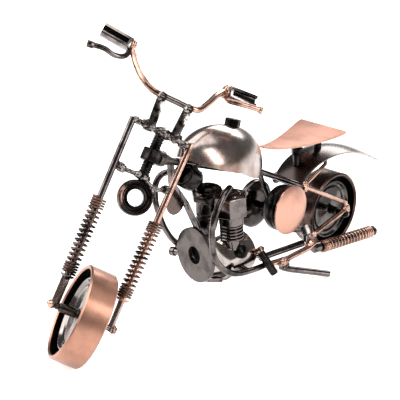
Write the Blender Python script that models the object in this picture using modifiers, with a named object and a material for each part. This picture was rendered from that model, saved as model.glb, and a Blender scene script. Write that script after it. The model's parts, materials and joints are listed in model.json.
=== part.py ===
"""Welded desk model of a chopper motorcycle: rods, rings, washers, nuts, bolts and springs.

Axes: +X is the rider's left, -Y is forwards, +Z is up, and the ground is z = 0.
Lengths below are in millimetres; MM turns them into metres.
"""

import math

import bmesh
import bpy
from mathutils import Matrix, Vector

MM = 0.001
GAP = 0.06                      # clearance left where one piece is fitted against another

# Layout
ORIGIN_X = -5.0                 # middle of the footprint, moved to the origin
ORIGIN_Y = 90.53
FRONT_AXLE_Z = 20.08
REAR_AXLE_Y = 157.6
RAKE = math.radians(36.13)
STEER = math.radians(53.5)

# Wheels
FRONT_R = 20.0
FRONT_WIDTH = 11.6
REAR_R = 17.6
REAR_WIDTH = 11.3
AXLE_R = 1.15
HUB_BORE_R = 1.25

# Fork and handlebar
LEG_R = 1.4
LEG_TOP = 79.6
LEG_T_TOP = 12.9
LEG_T_LOW = 12.0
SPRING_R = 2.72
SPRING_WIRE_R = 0.48
STUD_R = 2.35
STUD_BORE_R = 2.43
NUT_S = 69.0
BAR_R = 1.35

# Engine, tank and seat
PLATE_R = 11.95
PLATE_HOLE_R = 3.8
DRUM_R = 10.9
TANK_HALF_LENGTH = 25.0
TANK_HALF_WIDTH = 14.2
TANK_HEIGHT = 15.8
TANK_WALL = 0.9
SEAT_THICK = 1.0
FENDER_THICK = 0.8


# ---------------------------------------------------------------- scene

for old in list(bpy.data.objects):
    bpy.data.objects.remove(old, do_unlink=True)

MODEL = bpy.data.collections.new("Chopper_desk_model")
CUTTERS = bpy.data.collections.new("Cutters")
bpy.context.scene.collection.children.link(MODEL)
bpy.context.scene.collection.children.link(CUTTERS)
CUTTERS.hide_render = True


def make_material(name, colour, roughness, metallic=1.0):
    material = bpy.data.materials.new(name)
    material.use_nodes = True
    shader = material.node_tree.nodes["Principled BSDF"]
    shader.inputs["Base Color"].default_value = (*colour, 1.0)
    shader.inputs["Roughness"].default_value = roughness
    shader.inputs["Metallic"].default_value = metallic
    material.diffuse_color = (*colour, 1.0)
    return material


BLACK_NICKEL = ("black_nickel", (0.105, 0.098, 0.100), 0.22)
GREY_STEEL = ("grey_steel", (0.300, 0.285, 0.280), 0.34)
BLACK_STEEL = ("black_steel", (0.030, 0.028, 0.030), 0.30)
COPPER = ("antique_copper", (0.640, 0.330, 0.220), 0.32)
DARK_COPPER = ("dark_copper", (0.300, 0.175, 0.135), 0.30)


def empty(name, location=(0, 0, 0), parent=None, rotation=None):
    made = bpy.data.objects.new(name, None)
    made.empty_display_size = 10 * MM
    MODEL.objects.link(made)
    made.parent = parent
    turn = rotation.to_4x4() if rotation else Matrix.Identity(4)
    made.matrix_basis = Matrix.Translation(Vector(location) * MM) @ turn
    return made


ROOT = empty("model_origin", (-ORIGIN_X, -ORIGIN_Y, 0))
FORK = empty(
    "steering_axis",
    (0, 0, FRONT_AXLE_Z),
    ROOT,
    Matrix.Rotation(-RAKE, 3, "X") @ Matrix.Rotation(STEER, 3, "Z"),
)
HEAD = empty("steering_head", (0, 0, FRONT_AXLE_Z), ROOT, Matrix.Rotation(-RAKE, 3, "X"))
bpy.context.view_layer.update()


# ---------------------------------------------------------------- helpers


def finish(name, mesh, finish_of, parent):
    """Name a mesh, give it its own material and put it under its parent."""
    mesh.name = name
    made = bpy.data.objects.new(name, mesh)
    MODEL.objects.link(made)
    made.parent = parent
    base, colour, roughness = finish_of
    mesh.materials.clear()
    mesh.materials.append(make_material(f"{name}_{base}", colour, roughness))
    bpy.context.view_layer.update()
    return made


def evaluated_mesh(obj):
    """The mesh of an object with its modifiers, or of a curve, closed and facing out."""
    graph = bpy.context.evaluated_depsgraph_get()
    mesh = bpy.data.meshes.new_from_object(obj.evaluated_get(graph), depsgraph=graph)
    bm = bmesh.new()
    bm.from_mesh(mesh)
    bmesh.ops.remove_doubles(bm, verts=bm.verts, dist=1e-6)
    bmesh.ops.recalc_face_normals(bm, faces=bm.faces)
    bm.to_mesh(mesh)
    bm.free()
    return mesh


def apply_modifiers(obj):
    bpy.context.view_layer.update()
    mesh = evaluated_mesh(obj)
    old = obj.data
    obj.modifiers.clear()
    obj.data = mesh
    mesh.name = obj.name
    if not mesh.materials:
        mesh.materials.append(old.materials[0])
    bpy.data.meshes.remove(old)
    bpy.context.view_layer.update()
    return obj


def smooth_path(points, steps=4):
    """Points along a smooth line through the given ones."""
    points = [Vector(p) for p in points]
    ends = [2 * points[0] - points[1], *points, 2 * points[-1] - points[-2]]
    path = []
    for i in range(1, len(ends) - 2):
        a, b, c, d = ends[i - 1:i + 3]
        for k in range(steps):
            t = k / steps
            path.append(
                0.5 * (2 * b + (c - a) * t + (2 * a - 5 * b + 4 * c - d) * t * t
                       + (3 * b - a - 3 * c + d) * t ** 3)
            )
    path.append(points[-1])
    return path


def rod_mesh(points, radius, sides=8, radii=None):
    """A round rod through the points, as a mesh."""
    curve = bpy.data.curves.new("rod", "CURVE")
    curve.dimensions = "3D"
    curve.bevel_depth = radius * MM
    curve.bevel_resolution = sides // 2 - 2
    curve.use_fill_caps = True
    spline = curve.splines.new("POLY")
    spline.points.add(len(points) - 1)
    for i, point in enumerate(points):
        spline.points[i].co = (*(Vector(point) * MM), 1)
        spline.points[i].radius = radii[i] if radii else 1
    obj = bpy.data.objects.new("rod", curve)
    MODEL.objects.link(obj)
    bpy.context.view_layer.update()
    mesh = evaluated_mesh(obj)
    bpy.data.objects.remove(obj)
    bpy.data.curves.remove(curve)
    return mesh


def turned_mesh(profile, at, direction, steps=16, spin=0.0):
    """A turned piece: (radius, height) pairs spun about a line from at along direction."""
    mesh = bpy.data.meshes.new("profile")
    bm = bmesh.new()
    ring = [bm.verts.new((r * MM, 0, h * MM)) for r, h in profile]
    for a, b in zip(ring, ring[1:]):
        bm.edges.new((a, b))
    if profile[0][0] > 0 or profile[-1][0] > 0:
        bm.edges.new((ring[-1], ring[0]))
    bm.to_mesh(mesh)
    bm.free()
    obj = bpy.data.objects.new("turned", mesh)
    MODEL.objects.link(obj)
    screw = obj.modifiers.new("Spin", "SCREW")
    screw.steps = steps
    screw.render_steps = steps
    screw.use_merge_vertices = True
    screw.merge_threshold = 1e-5
    bpy.context.view_layer.update()
    made = evaluated_mesh(obj)
    bpy.data.objects.remove(obj)
    turn = Vector(direction).normalized().to_track_quat("Z", "Y").to_matrix().to_4x4()
    made.transform(
        Matrix.Translation(Vector(at) * MM) @ turn @ Matrix.Rotation(spin, 4, "Z")
    )
    return made


def prism_mesh(radius, low, high, at, direction, sides=6, spin=0.0, chamfer=0.0):
    """A nut or bolt head: a prism with its corners bevelled off at both ends."""
    bm = bmesh.new()
    bmesh.ops.create_cone(
        bm,
        cap_ends=True,
        segments=sides,
        radius1=radius * MM,
        radius2=radius * MM,
        depth=(high - low) * MM,
    )
    if chamfer:
        rims = [e for e in bm.edges if abs(e.verts[0].co.z - e.verts[1].co.z) < 1e-7]
        bmesh.ops.bevel(bm, geom=rims, offset=chamfer * MM, segments=1, affect="EDGES")
    mesh = bpy.data.meshes.new("prism")
    bm.to_mesh(mesh)
    bm.free()
    turn = Vector(direction).normalized().to_track_quat("Z", "Y").to_matrix().to_4x4()
    lift = Matrix.Translation((0, 0, (low + high) / 2 * MM))
    mesh.transform(
        Matrix.Translation(Vector(at) * MM) @ turn @ Matrix.Rotation(spin, 4, "Z") @ lift
    )
    return mesh


def box_mesh(size, at, rotation=None, bevel=0.0):
    bm = bmesh.new()
    bmesh.ops.create_cube(bm, size=1.0)
    bmesh.ops.scale(bm, vec=Vector(size) * MM, verts=bm.verts)
    if bevel:
        bmesh.ops.bevel(bm, geom=bm.edges[:], offset=bevel * MM, segments=1, affect="EDGES")
    mesh = bpy.data.meshes.new("box")
    bm.to_mesh(mesh)
    bm.free()
    turn = rotation.to_4x4() if rotation else Matrix.Identity(4)
    mesh.transform(Matrix.Translation(Vector(at) * MM) @ turn)
    return mesh


def bar_mesh(start, end, width, depth, side):
    """A straight bar of rectangular section between two points; side is its width's direction."""
    start = Vector(start)
    end = Vector(end)
    along = (end - start).normalized()
    across = (Vector(side) - Vector(side).dot(along) * along).normalized()
    third = along.cross(across)
    turn = Matrix((across, third, along)).transposed()
    return box_mesh((width, depth, (end - start).length), (start + end) / 2, turn, 0.2)


def blob_mesh(at, radii, subdivisions=1):
    """A weld bead: a small stretched ball."""
    bm = bmesh.new()
    bmesh.ops.create_icosphere(bm, subdivisions=subdivisions, radius=1.0)
    bmesh.ops.scale(bm, vec=Vector(radii) * MM, verts=bm.verts)
    mesh = bpy.data.meshes.new("weld")
    bm.to_mesh(mesh)
    bm.free()
    mesh.transform(Matrix.Translation(Vector(at) * MM))
    return mesh


def helper(mesh):
    obj = bpy.data.objects.new("Cutter", mesh)
    CUTTERS.objects.link(obj)
    obj.display_type = "WIRE"
    obj.hide_render = True
    return obj


def boolean(obj, other, operation):
    cut = obj.modifiers.new(operation.title(), "BOOLEAN")
    cut.operation = operation
    cut.solver = "EXACT"
    cut.object = other
    apply_modifiers(obj)


def joined(name, meshes, finish_of, parent):
    """Several overlapping shapes made one solid."""
    made = finish(name, meshes[0], finish_of, parent)
    for mesh in meshes[1:]:
        other = helper(mesh)
        other.parent = parent
        bpy.context.view_layer.update()
        boolean(made, other, "UNION")
        bpy.data.objects.remove(other)
    return made


def fitted(obj, *others, gap=GAP):
    """Cut a piece back so that it just clears the others."""
    for other in others:
        mesh = other.data.copy()
        bm = bmesh.new()
        bm.from_mesh(mesh)
        bm.normal_update()
        moves = [v.normal * gap * MM * v.calc_shell_factor() for v in bm.verts]
        for vert, move in zip(bm.verts, moves):
            vert.co += move
        bm.to_mesh(mesh)
        bm.free()
        cutter = helper(mesh)
        cutter.matrix_world = other.matrix_world.copy()
        bpy.context.view_layer.update()
        boolean(obj, cutter, "DIFFERENCE")
        bpy.data.objects.remove(cutter)
    return keep_largest(obj)


def keep_largest(obj):
    """Drop the loose crumbs that a cut can leave, keeping the piece itself."""
    bm = bmesh.new()
    bm.from_mesh(obj.data)
    todo = set(bm.faces)
    groups = []
    while todo:
        group = {todo.pop()}
        edge = list(group)
        while edge:
            face = edge.pop()
            for near in {f for e in face.edges for f in e.link_faces} & todo:
                todo.discard(near)
                group.add(near)
                edge.append(near)
        groups.append(group)
    groups.sort(key=lambda g: sum(f.calc_area() for f in g))
    for group in groups[:-1]:
        bmesh.ops.delete(bm, geom=list(group), context="FACES")
    bm.to_mesh(obj.data)
    bm.free()
    return obj


def smooth(*objects):
    for obj in objects:
        obj.data.shade_smooth()
        obj.data.set_sharp_from_angle(angle=math.radians(38))


def spring_mesh(length, radius, wire, dense, open_turns, start, direction, per_turn=6):
    """A coil with close turns at both ends and open ones between."""
    pitch = 2 * wire * 1.16
    wide = (length - 2 * wire - 2 * dense * pitch) / open_turns
    turns = [pitch] * dense + [wide] * open_turns + [pitch] * dense
    points = []
    height = wire
    for rise in turns:
        for k in range(per_turn):
            angle = 2 * math.pi * k / per_turn
            points.append(
                (radius * math.cos(angle), radius * math.sin(angle),
                 height + rise * k / per_turn)
            )
        height += rise
    points.append((radius, 0, height))
    mesh = rod_mesh(points, wire, sides=4)
    turn = Vector(direction).normalized().to_track_quat("Z", "Y").to_matrix().to_4x4()
    mesh.transform(Matrix.Translation(Vector(start) * MM) @ turn)
    return mesh


# ---------------------------------------------------------------- wheels


def ring_profile(radius, wall, width):
    """Section of a bearing ring with its edges broken, and its flat facets on the ground."""
    half = width / 2
    inner = radius - wall
    return [
        (inner, half - 0.5),
        (inner + 0.5, half),
        (radius - 0.7, half),
        (radius, half - 0.7),
        (radius, -half + 0.7),
        (radius - 0.7, -half),
        (inner + 0.5, -half),
        (inner, -half + 0.5),
    ]


def circumscribed(profile, steps):
    """Grow the radii so that the flats, not the corners, are on the stated radius."""
    return [(r / math.cos(math.pi / steps), h) for r, h in profile]


def wheel(prefix, radius, wall, width, parent, at, axis, steps, hub_out, finishes):
    """A ring with a dished disc on each side, all turned about the axle."""
    at = Vector(at)
    axis = Vector(axis)
    profile = circumscribed(ring_profile(radius, wall, width), steps)
    ring = finish(
        f"{prefix}_tyre_ring",
        turned_mesh(profile, at, axis, steps, math.pi / steps),
        finishes[0],
        parent,
    )
    inner = radius - wall - 0.08
    discs = []
    for side, name in ((1, "left"), (-1, "right")):
        disc = [
            (HUB_BORE_R, hub_out[name]),
            (2.2, hub_out[name]),
            (2.5, width * 0.24),
            (inner * 0.72, width * 0.22),
            (inner * 0.76, width * 0.29),
            (inner * 0.80, width * 0.29),
            (inner * 0.82, width * 0.17),
            (inner, width * 0.17),
            (inner, 0.2),
            (HUB_BORE_R, 0.2),
        ]
        made = finish(
            f"{prefix}_disc_{name}",
            turned_mesh(disc, at, axis * side, 20),
            finishes[1],
            parent,
        )
        discs.append(made)
    smooth(ring, *discs)
    return ring, discs


front_spin = empty("front_wheel_axis", (0, 0, 0), FORK)
front_ring, front_discs = wheel(
    "front", FRONT_R, 1.7, FRONT_WIDTH, front_spin, (0, 0, 0), (1, 0, 0), 40,
    {"left": 9.6, "right": 10.3}, (COPPER, GREY_STEEL),
)
rear_spin = empty("rear_wheel_axis", (0, REAR_AXLE_Y, REAR_R), ROOT)
rear_ring, rear_discs = wheel(
    "rear", REAR_R, 1.7, REAR_WIDTH, rear_spin, (0, 0, 0), (1, 0, 0), 36,
    {"left": 7.2, "right": 7.2}, (DARK_COPPER, GREY_STEEL),
)


# ---------------------------------------------------------------- fork (x across, y back, z up the stud)


def leg_t(s):
    """Distance of a leg from the steering axis at a height s above the axle."""
    return LEG_T_LOW + (LEG_T_TOP - LEG_T_LOW) * s / LEG_TOP


legs = []
springs = []
for side, name, tone in ((1, "left", DARK_COPPER), (-1, "right", BLACK_NICKEL)):
    low = side * leg_t(12)
    shapes = [
        rod_mesh([(side * leg_t(11), 0, 11), (side * LEG_T_TOP, 0, LEG_TOP + 0.6)], LEG_R),
        turned_mesh([(0, 0), (2.0, 0), (2.9, 0.6), (2.9, 1.1), (0, 1.1)], (low, 0, 11.7),
                    (0, 0, 1), 8),
    ]
    if name == "right":
        shapes.append(box_mesh((3.4, 1.6, 13.6), (-12.3, 0, 5.3), None, 0.25))
    else:
        shapes.append(rod_mesh([(12.3, 0, -1.2), (12.1, 0, 12)], 1.3))
    leg = joined(f"fork_leg_{name}", shapes, tone, FORK)
    legs.append(leg)
    lean = Vector((side * (LEG_T_TOP - LEG_T_LOW) / LEG_TOP, 0, 1))
    coil = finish(
        f"fork_spring_{name}",
        spring_mesh(33.2, SPRING_R, SPRING_WIRE_R, 4, 12,
                    (side * leg_t(12.9), 0, 12.9), lean),
        DARK_COPPER,
        FORK,
    )
    springs.append(coil)
leg_left, leg_right = legs

axle = joined(
    "front_axle",
    [
        turned_mesh(
            [(0, -15.8), (0.5, -15.4), (1.5, -13.8), (AXLE_R, -13.2), (AXLE_R, 12.6),
             (1.7, 13.4), (1.3, 14.7), (0, 15.0)],
            (0, 0, 0), (1, 0, 0), 12),
    ],
    BLACK_NICKEL,
    FORK,
)
for leg in legs:
    fitted(leg, axle)

stud_profile = [(0, 60.6), (STUD_R - 0.5, 60.6)]
for turn in range(8):
    height = 60.9 + 2 * turn
    stud_profile += [(STUD_R, height + 0.5), (STUD_R, height + 0.9), (STUD_R - 0.4, height + 1.6)]
stud_profile += [(STUD_R - 0.4, 77.6), (0, 77.6)]
stud = finish("steering_stud", turned_mesh(stud_profile, (0, 0, 0), (0, 0, 1), 10),
              BLACK_STEEL, FORK)

headlight = finish(
    "headlight",
    turned_mesh(
        [(3.4, -1.0), (3.4, 1.2), (4.3, 1.6), (4.5, 1.2), (5.0, 1.2), (5.6, 2.0), (6.7, 1.7),
         (7.3, 0.6), (7.3, -0.8), (6.6, -1.8), (5.0, -1.9), (4.2, -1.4)],
        (0.5, 0, 51.2), (0, -1, 0), 24),
    DARK_COPPER,
    FORK,
)

lower_clamp = joined(
    "lower_clamp",
    [
        rod_mesh(smooth_path([(-11.9, 0, 59.2), (-6.5, 0, 59.9), (-0.5, 0, 59.9),
                              (5.8, 0, 57.8), (12.1, 0, 59.0)], 3), 0.95),
        blob_mesh((-0.2, 0, 60.2), (3.6, 2.3, 1.7)),
        blob_mesh((-9.6, 0, 59.9), (2.1, 1.5, 1.9)),
        blob_mesh((10.6, -0.3, 59.2), (1.9, 1.6, 1.5)),
        rod_mesh([(3.2, 0, 59.0), (7.2, 0, 54.2)], 0.8),
    ],
    BLACK_NICKEL,
    FORK,
)
fitted(lower_clamp, leg_left, leg_right, stud, headlight)

upper_shapes = [
    rod_mesh(smooth_path([(-12.6, 0, 79.8), (-8, 0, 79.6), (-5, 0, 79.2), (0, 0, 79.3),
                          (5, 0, 79.6), (9, 0, 79.2), (12.6, 0, 78.6)], 2), 1.1),
    blob_mesh((-6.0, 0, 79.6), (3.0, 1.9, 2.1)),
    blob_mesh((0.6, 0, 79.4), (3.4, 2.2, 2.2)),
    blob_mesh((6.0, 0, 80.0), (2.6, 1.9, 2.5)),
    rod_mesh(smooth_path([(7.5, 0, 79.6), (10.6, 0, 77.4), (12.0, 0, 74.2)], 3), 0.9),
]
for side in (-1, 1):
    upper_shapes.append(
        bar_mesh((side * 5.2, -0.8, 79.4), (side * 5.9, -1.3, 91.3), 3.5, 2.2, (1, 0, 0))
    )
    upper_shapes.append(
        turned_mesh([(0, -1.5), (1.7, -1.5), (2.1, -0.9), (2.1, 1.0), (1.6, 1.5), (0, 1.5)],
                    (side * 5.95, -1.4, 92.2), (0, 1, 0), 12)
    )
upper_clamp = joined("upper_clamp", upper_shapes, BLACK_NICKEL, FORK)

bar_points = [(-21.7, 15.3, 108.4), (-20.8, 12.4, 105.6), (-18.4, 6.6, 100.2), (-14.0, 0.8, 95.0),
              (-9.9, -1.1, 93.0), (-6.0, -1.4, 92.8), (0, -1.4, 92.8), (6.0, -1.4, 92.9),
              (9.8, -1.0, 93.7), (13.2, 2.4, 97.6), (16.9, 7.8, 103.6), (20.0, 12.6, 107.0),
              (21.7, 15.3, 108.4)]
bar_shapes = [rod_mesh(smooth_path(bar_points, 3), BAR_R)]
for side in (-1, 1):
    bar_shapes.append(blob_mesh((side * 21.9, 15.0, 108.2), (2.1, 2.2, 3.1)))
handlebar = joined("handlebar", bar_shapes, COPPER, FORK)
fitted(upper_clamp, leg_left, leg_right, stud, handlebar)

grips = []
levers = []
for side, name in ((1, "left"), (-1, "right")):
    start = Vector((side * 22.6, 14.6, 108.3))
    end = Vector((side * 35.4, 16.4, 109.6))
    along = (end - start).normalized()
    up = Vector((0, 0.25, 1)).normalized()
    back = along.cross(up).normalized()
    body = bar_mesh(start, end, 5.0, 4.4, up)
    grip = finish(f"grip_{name}", body, BLACK_NICKEL, FORK)
    front = -back if back.y > 0 else back
    slot = helper(
        bar_mesh(start + along * 1.6 + front * 2.0, end + along * 2 + front * 2.0, 2.4, 3.4, up)
    )
    slot.parent = FORK
    bpy.context.view_layer.update()
    boolean(grip, slot, "DIFFERENCE")
    bpy.data.objects.remove(slot)
    fitted(grip, handlebar)
    grips.append(grip)
    if name == "right":
        path = smooth_path([(-22.2, 13.6, 105.8), (-24.0, 10.6, 102.4), (-28.5, 9.0, 100.8),
                            (-32.8, 8.8, 101.4), (-38.6, 8.8, 100.6)], 3)
        shapes = [
            rod_mesh(path, 1.15),
            prism_mesh(1.6, -1.4, 1.4, (-38.8, 8.8, 100.5), (-1, 0, -0.12), 6, 0.2, 0.2),
        ]
        tone = BLACK_NICKEL
    else:
        path = smooth_path([(22.4, 13.2, 105.4), (23.2, 10.2, 104.4), (26.5, 9.0, 104.8),
                            (31.0, 8.8, 105.6), (36.6, 8.8, 106.4)], 3)
        shapes = [
            rod_mesh(path, 1.15),
            turned_mesh([(0, -0.7), (1.5, -0.7), (1.6, 0), (1.5, 0.7), (0, 0.7)],
                        (36.8, 8.8, 106.4), (1, 0, 0.14), 12),
        ]
        tone = COPPER
    lever = joined(f"lever_{name}", shapes, tone, FORK)
    fitted(lever, handlebar, grip)
    levers.append(lever)

smooth(*legs, *springs, axle, stud, headlight, lower_clamp, upper_clamp, handlebar, *levers)


# ---------------------------------------------------------------- steering head

nut = finish(
    "steering_nut",
    prism_mesh(4.4, NUT_S - 2.6, NUT_S + 2.6, (0, 0, 0), (0, 0, 1), 6, math.pi / 6, 0.35),
    BLACK_STEEL,
    HEAD,
)
bore = helper(
    turned_mesh(
        [(0, NUT_S - 4), (STUD_BORE_R / math.cos(math.pi / 24), NUT_S - 4),
         (STUD_BORE_R / math.cos(math.pi / 24), NUT_S + 4), (0, NUT_S + 4)],
        (0, 0, 0), (0, 0, 1), 24)
)
bore.parent = HEAD
bpy.context.view_layer.update()
boolean(nut, bore, "DIFFERENCE")
bpy.data.objects.remove(bore)

nut_bolt = finish(
    "steering_nut_bolt",
    turned_mesh(
        [(0, 0), (3.3, 0), (3.3, 3.4), (2.4, 3.9), (2.2, 6.4), (1.6, 8.2), (1.4, 13.6), (0, 13.6)],
        (0, 43.6, 74.4), (0, 0.93, -0.42), 14),
    GREY_STEEL,
    ROOT,
)
fitted(nut_bolt, nut)

neck_ring = finish(
    "neck_ring",
    turned_mesh(
        [(0, 2.0), (3.7, 2.0), (3.7, 3.4), (3.4, 3.7), (3.7, 4.2), (3.7, 5.0), (3.4, 5.3), (3.9, 5.8),
         (3.9, 7.0), (4.5, 7.0), (5.1, 6.4), (5.1, 0.2), (4.4, -0.6), (0, -0.6)],
        (0.2, 64.5, 58.9), (0, -0.8, 0.6), 16),
    BLACK_STEEL,
    ROOT,
)
bush_lug = rod_mesh([(0, 66.4, 65.2), (0.2, 66.6, 60.0)], 1.6)

# ---------------------------------------------------------------- frame

backbone = joined(
    "frame_backbone",
    [
        rod_mesh(smooth_path([(0, 55.5, 69.4), (0, 66, 65.4), (0, 86, 57.6), (0, 104, 51.4),
                              (0, 109.5, 49.2)], 2), 1.5),
        bush_lug,
        blob_mesh((0, 109.6, 49.2), (2.6, 2.0, 1.8)),
    ],
    BLACK_NICKEL,
    ROOT,
)
fitted(backbone, nut_bolt, neck_ring)

down_tube = joined(
    "down_tube",
    [
        bar_mesh((0, 51.9, 69.6), (0, 52.4, 60.4), 2.6, 1.8, (1, 0, 0)),
        bar_mesh((0, 52.0, 61.4), (0, 61.2, 49.2), 2.6, 1.8, (1, 0, 0)),
        bar_mesh((0, 60.8, 49.8), (0, 69.0, 34.6), 2.6, 1.8, (1, 0, 0)),
    ],
    BLACK_NICKEL,
    ROOT,
)
fitted(down_tube, nut_bolt, backbone, neck_ring)

rear_axle = finish(
    "rear_axle",
    turned_mesh(
        [(0, -13.4), (1.2, -13.0), (1.9, -11.6), (1.7, -10.0), (AXLE_R, -9.4), (AXLE_R, 9.4),
         (1.7, 10.0), (1.9, 11.6), (1.2, 13.0), (0, 13.4)],
        (0, REAR_AXLE_Y, REAR_R), (1, 0, 0), 12),
    DARK_COPPER,
    ROOT,
)

stays = []
rails = []
for side, name in ((1, "left"), (-1, "right")):
    stay = joined(
        f"rear_stay_{name}",
        [
            rod_mesh([(side * 7.9, 131.0, 37.9), (side * 10.6, 158.6, 22.6),
                      (side * 10.9, 158.9, 18.2)], 1.2),
            rod_mesh([(side * 10.9, 158.6, 19.2), (side * 11.4, 134.2, 15.0)], 1.2),
            blob_mesh((side * 8.0, 131.0, 38.0), (2.1, 2.3, 3.0)),
            blob_mesh((side * 10.9, 158.6, 19.4), (1.9, 2.4, 2.8)),
            rod_mesh([(side * 7.6, 131.4, 38.4), (side * 6.4, 148.2, 43.2),
                      (side * 5.6, 149.6, 45.8)], 0.95),
            blob_mesh((side * 11.4, 134.0, 14.9), (1.8, 2.2, 2.0)),
        ],
        COPPER if side > 0 else BLACK_NICKEL,
        ROOT,
    )
    fitted(stay, rear_axle)
    stays.append(stay)
    rail = joined(
        f"frame_rail_{name}",
        [rod_mesh([(side * 0.6, 108.2, 49.9), (side * 2.4, 110.4, 48.8), (side * 7.8, 130.6, 38.2)],
                  1.25)],
        BLACK_NICKEL,
        ROOT,
    )
    fitted(rail, backbone, stay)
    rails.append(rail)
stay_left, stay_right = stays
rail_left, rail_right = rails
fitted(rail_right, rail_left)

front_plate = finish(
    "front_plate",
    turned_mesh(
        [(PLATE_HOLE_R, -1.0), (PLATE_HOLE_R, 1.0), (PLATE_R - 0.4, 1.0), (PLATE_R, 0.6),
         (PLATE_R, -0.6), (PLATE_R - 0.4, -1.0)],
        (0, 67.4, 24.0), (-0.176, -0.984, 0), 40),
    GREY_STEEL,
    ROOT,
)
fitted(down_tube, front_plate)

crankcase = joined(
    "crankcase",
    [
        turned_mesh([(0, 0), (8.6, 0), (9.5, 0.6), (9.5, 15.8), (9.0, 16.4), (0, 16.4)],
                    (0, 80.4, 17.0), (0, 1, 0), 32),
        rod_mesh([(-11.7, 88.0, 15.2), (11.5, 88.0, 12.9)], 1.3),
        rod_mesh([(4.0, 95.0, 16.0), (9.6, 99.6, 15.2)], 1.2),
    ],
    BLACK_NICKEL,
    ROOT,
)
crank_bolt = finish(
    "crankcase_bolt",
    turned_mesh([(0, 0), (2.6, 0), (3.1, 0.6), (3.1, 1.4), (2.5, 2.3), (1.3, 2.9), (0, 3.0)],
                (8.0, 86.8, 21.2), (0.885, 0, 0.465), 16),
    BLACK_STEEL,
    ROOT,
)
fitted(crank_bolt, crankcase)


def cylinder(name, foot, top, parts, tone, head_sides, head_spin):
    """A stout bolt standing as an engine cylinder, turned along its own axis."""
    foot = Vector(foot)
    direction = (Vector(top) - foot).normalized()
    head_low, head_high, head_r, profile = parts
    shapes = [turned_mesh(profile, foot, direction, 20)]
    shapes.append(prism_mesh(head_r, head_low, head_high, foot, direction, head_sides, head_spin,
                             0.5))
    return joined(name, shapes, tone, ROOT)


cylinder_right = cylinder(
    "cylinder_right", (-6.2, 82.0, 19.6), (-4.4, 79.8, 50.0),
    (
        25.4, 28.6, 7.6,
        [(0, 0), (3.0, 0), (3.0, 9.0), (3.9, 10.4), (4.9, 15.0), (4.9, 16.4), (4.5, 16.8), (4.9, 17.2),
         (4.9, 18.2), (4.5, 18.6), (5.2, 19.4), (5.2, 24.4), (6.3, 25.4), (6.6, 28.6), (6.0, 29.6),
         (4.6, 29.6), (4.3, 27.4), (0, 27.4)],
    ),
    BLACK_STEEL, 6, 0.2,
)
cylinder_left = cylinder(
    "cylinder_left", (5.2, 85.2, 22.8), (4.2, 84.0, 50.0),
    (
        15.8, 24.8, 7.8,
        [(0, 0), (3.4, 0), (3.4, 4.4), (5.1, 4.8), (5.1, 5.6), (4.2, 6.0), (5.1, 6.4), (5.1, 7.2),
         (4.2, 7.6), (5.1, 8.0), (5.1, 8.8), (4.2, 9.2), (5.1, 9.6), (5.1, 10.4), (4.3, 10.8),
         (5.2, 11.6), (5.2, 15.6), (5.6, 16.6), (4.8, 25.0), (3.8, 25.8), (0, 26.0)],
    ),
    BLACK_NICKEL, 6, 0.35,
)
fitted(cylinder_right, crankcase)
fitted(cylinder_left, crankcase, cylinder_right, crank_bolt)
spark_bolt = joined(
    "spark_bolt",
    [
        prism_mesh(2.9, 3.0, 6.6, (-6.0, 76.6, 51.4), (0.1, -0.5, 0.9), 6, 0.3, 0.3),
        turned_mesh([(0, 0), (1.6, 0), (1.6, 3.2), (0, 3.2)], (-6.0, 76.6, 51.4), (0.1, -0.5, 0.9),
                    12),
        rod_mesh([(-5.6, 78.6, 46.2), (-6.0, 76.4, 52.2)], 1.3),
    ],
    BLACK_STEEL,
    ROOT,
)
fitted(spark_bolt, cylinder_right, neck_ring)

header_left = finish(
    "header_left",
    rod_mesh(smooth_path([(8.6, 79.6, 52.2), (11.0, 75.4, 54.4), (12.4, 68.4, 50.6),
                          (12.6, 64.0, 43.8), (12.6, 63.2, 35.6), (12.6, 64.6, 27.8),
                          (12.6, 68.8, 21.6), (12.6, 75.0, 16.8), (12.4, 81.8, 14.2),
                          (12.2, 89.0, 12.9), (12.0, 101.0, 11.8)], 3), 1.35),
    BLACK_NICKEL,
    ROOT,
)
header_right = finish(
    "header_right",
    rod_mesh(smooth_path([(-8.6, 71.0, 55.4), (-10.8, 64.0, 59.6), (-12.2, 58.0, 58.4),
                          (-12.4, 56.0, 50.5), (-12.4, 58.4, 41.6), (-12.9, 63.2, 32.6),
                          (-13.3, 69.6, 25.2), (-12.9, 77.5, 19.8), (-12.4, 88.0, 15.6),
                          (-11.6, 101.0, 14.4)], 3), 1.35),
    BLACK_NICKEL,
    ROOT,
)

for header in (header_left, header_right):
    fitted(header, front_plate, crankcase, cylinder_left, cylinder_right)

plate_bolt = joined(
    "front_plate_bolt",
    [
        turned_mesh([(0, 0), (1.3, 0), (1.3, 5.4), (2.0, 5.4), (2.0, 7.6), (1.7, 8.0), (0, 8.0)],
                    (-8.0, 69.6, 21.9), (-0.98, -0.05, -0.18), 12),
        rod_mesh([(-3.4, 70.4, 23.0), (-9.6, 70.0, 21.8)], 1.3),
        turned_mesh([(0, 0), (4.4, 0), (4.6, 0.3), (4.6, 2.6), (0, 2.8)], (0.2, 68.5, 24.0),
                    (0.176, 0.984, 0), 12),
        rod_mesh([(-9.0, 69.8, 21.8), (-13.2, 69.6, 24.0)], 0.9),
    ],
    BLACK_NICKEL,
    ROOT,
)
fitted(plate_bolt, front_plate, header_right)

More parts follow.
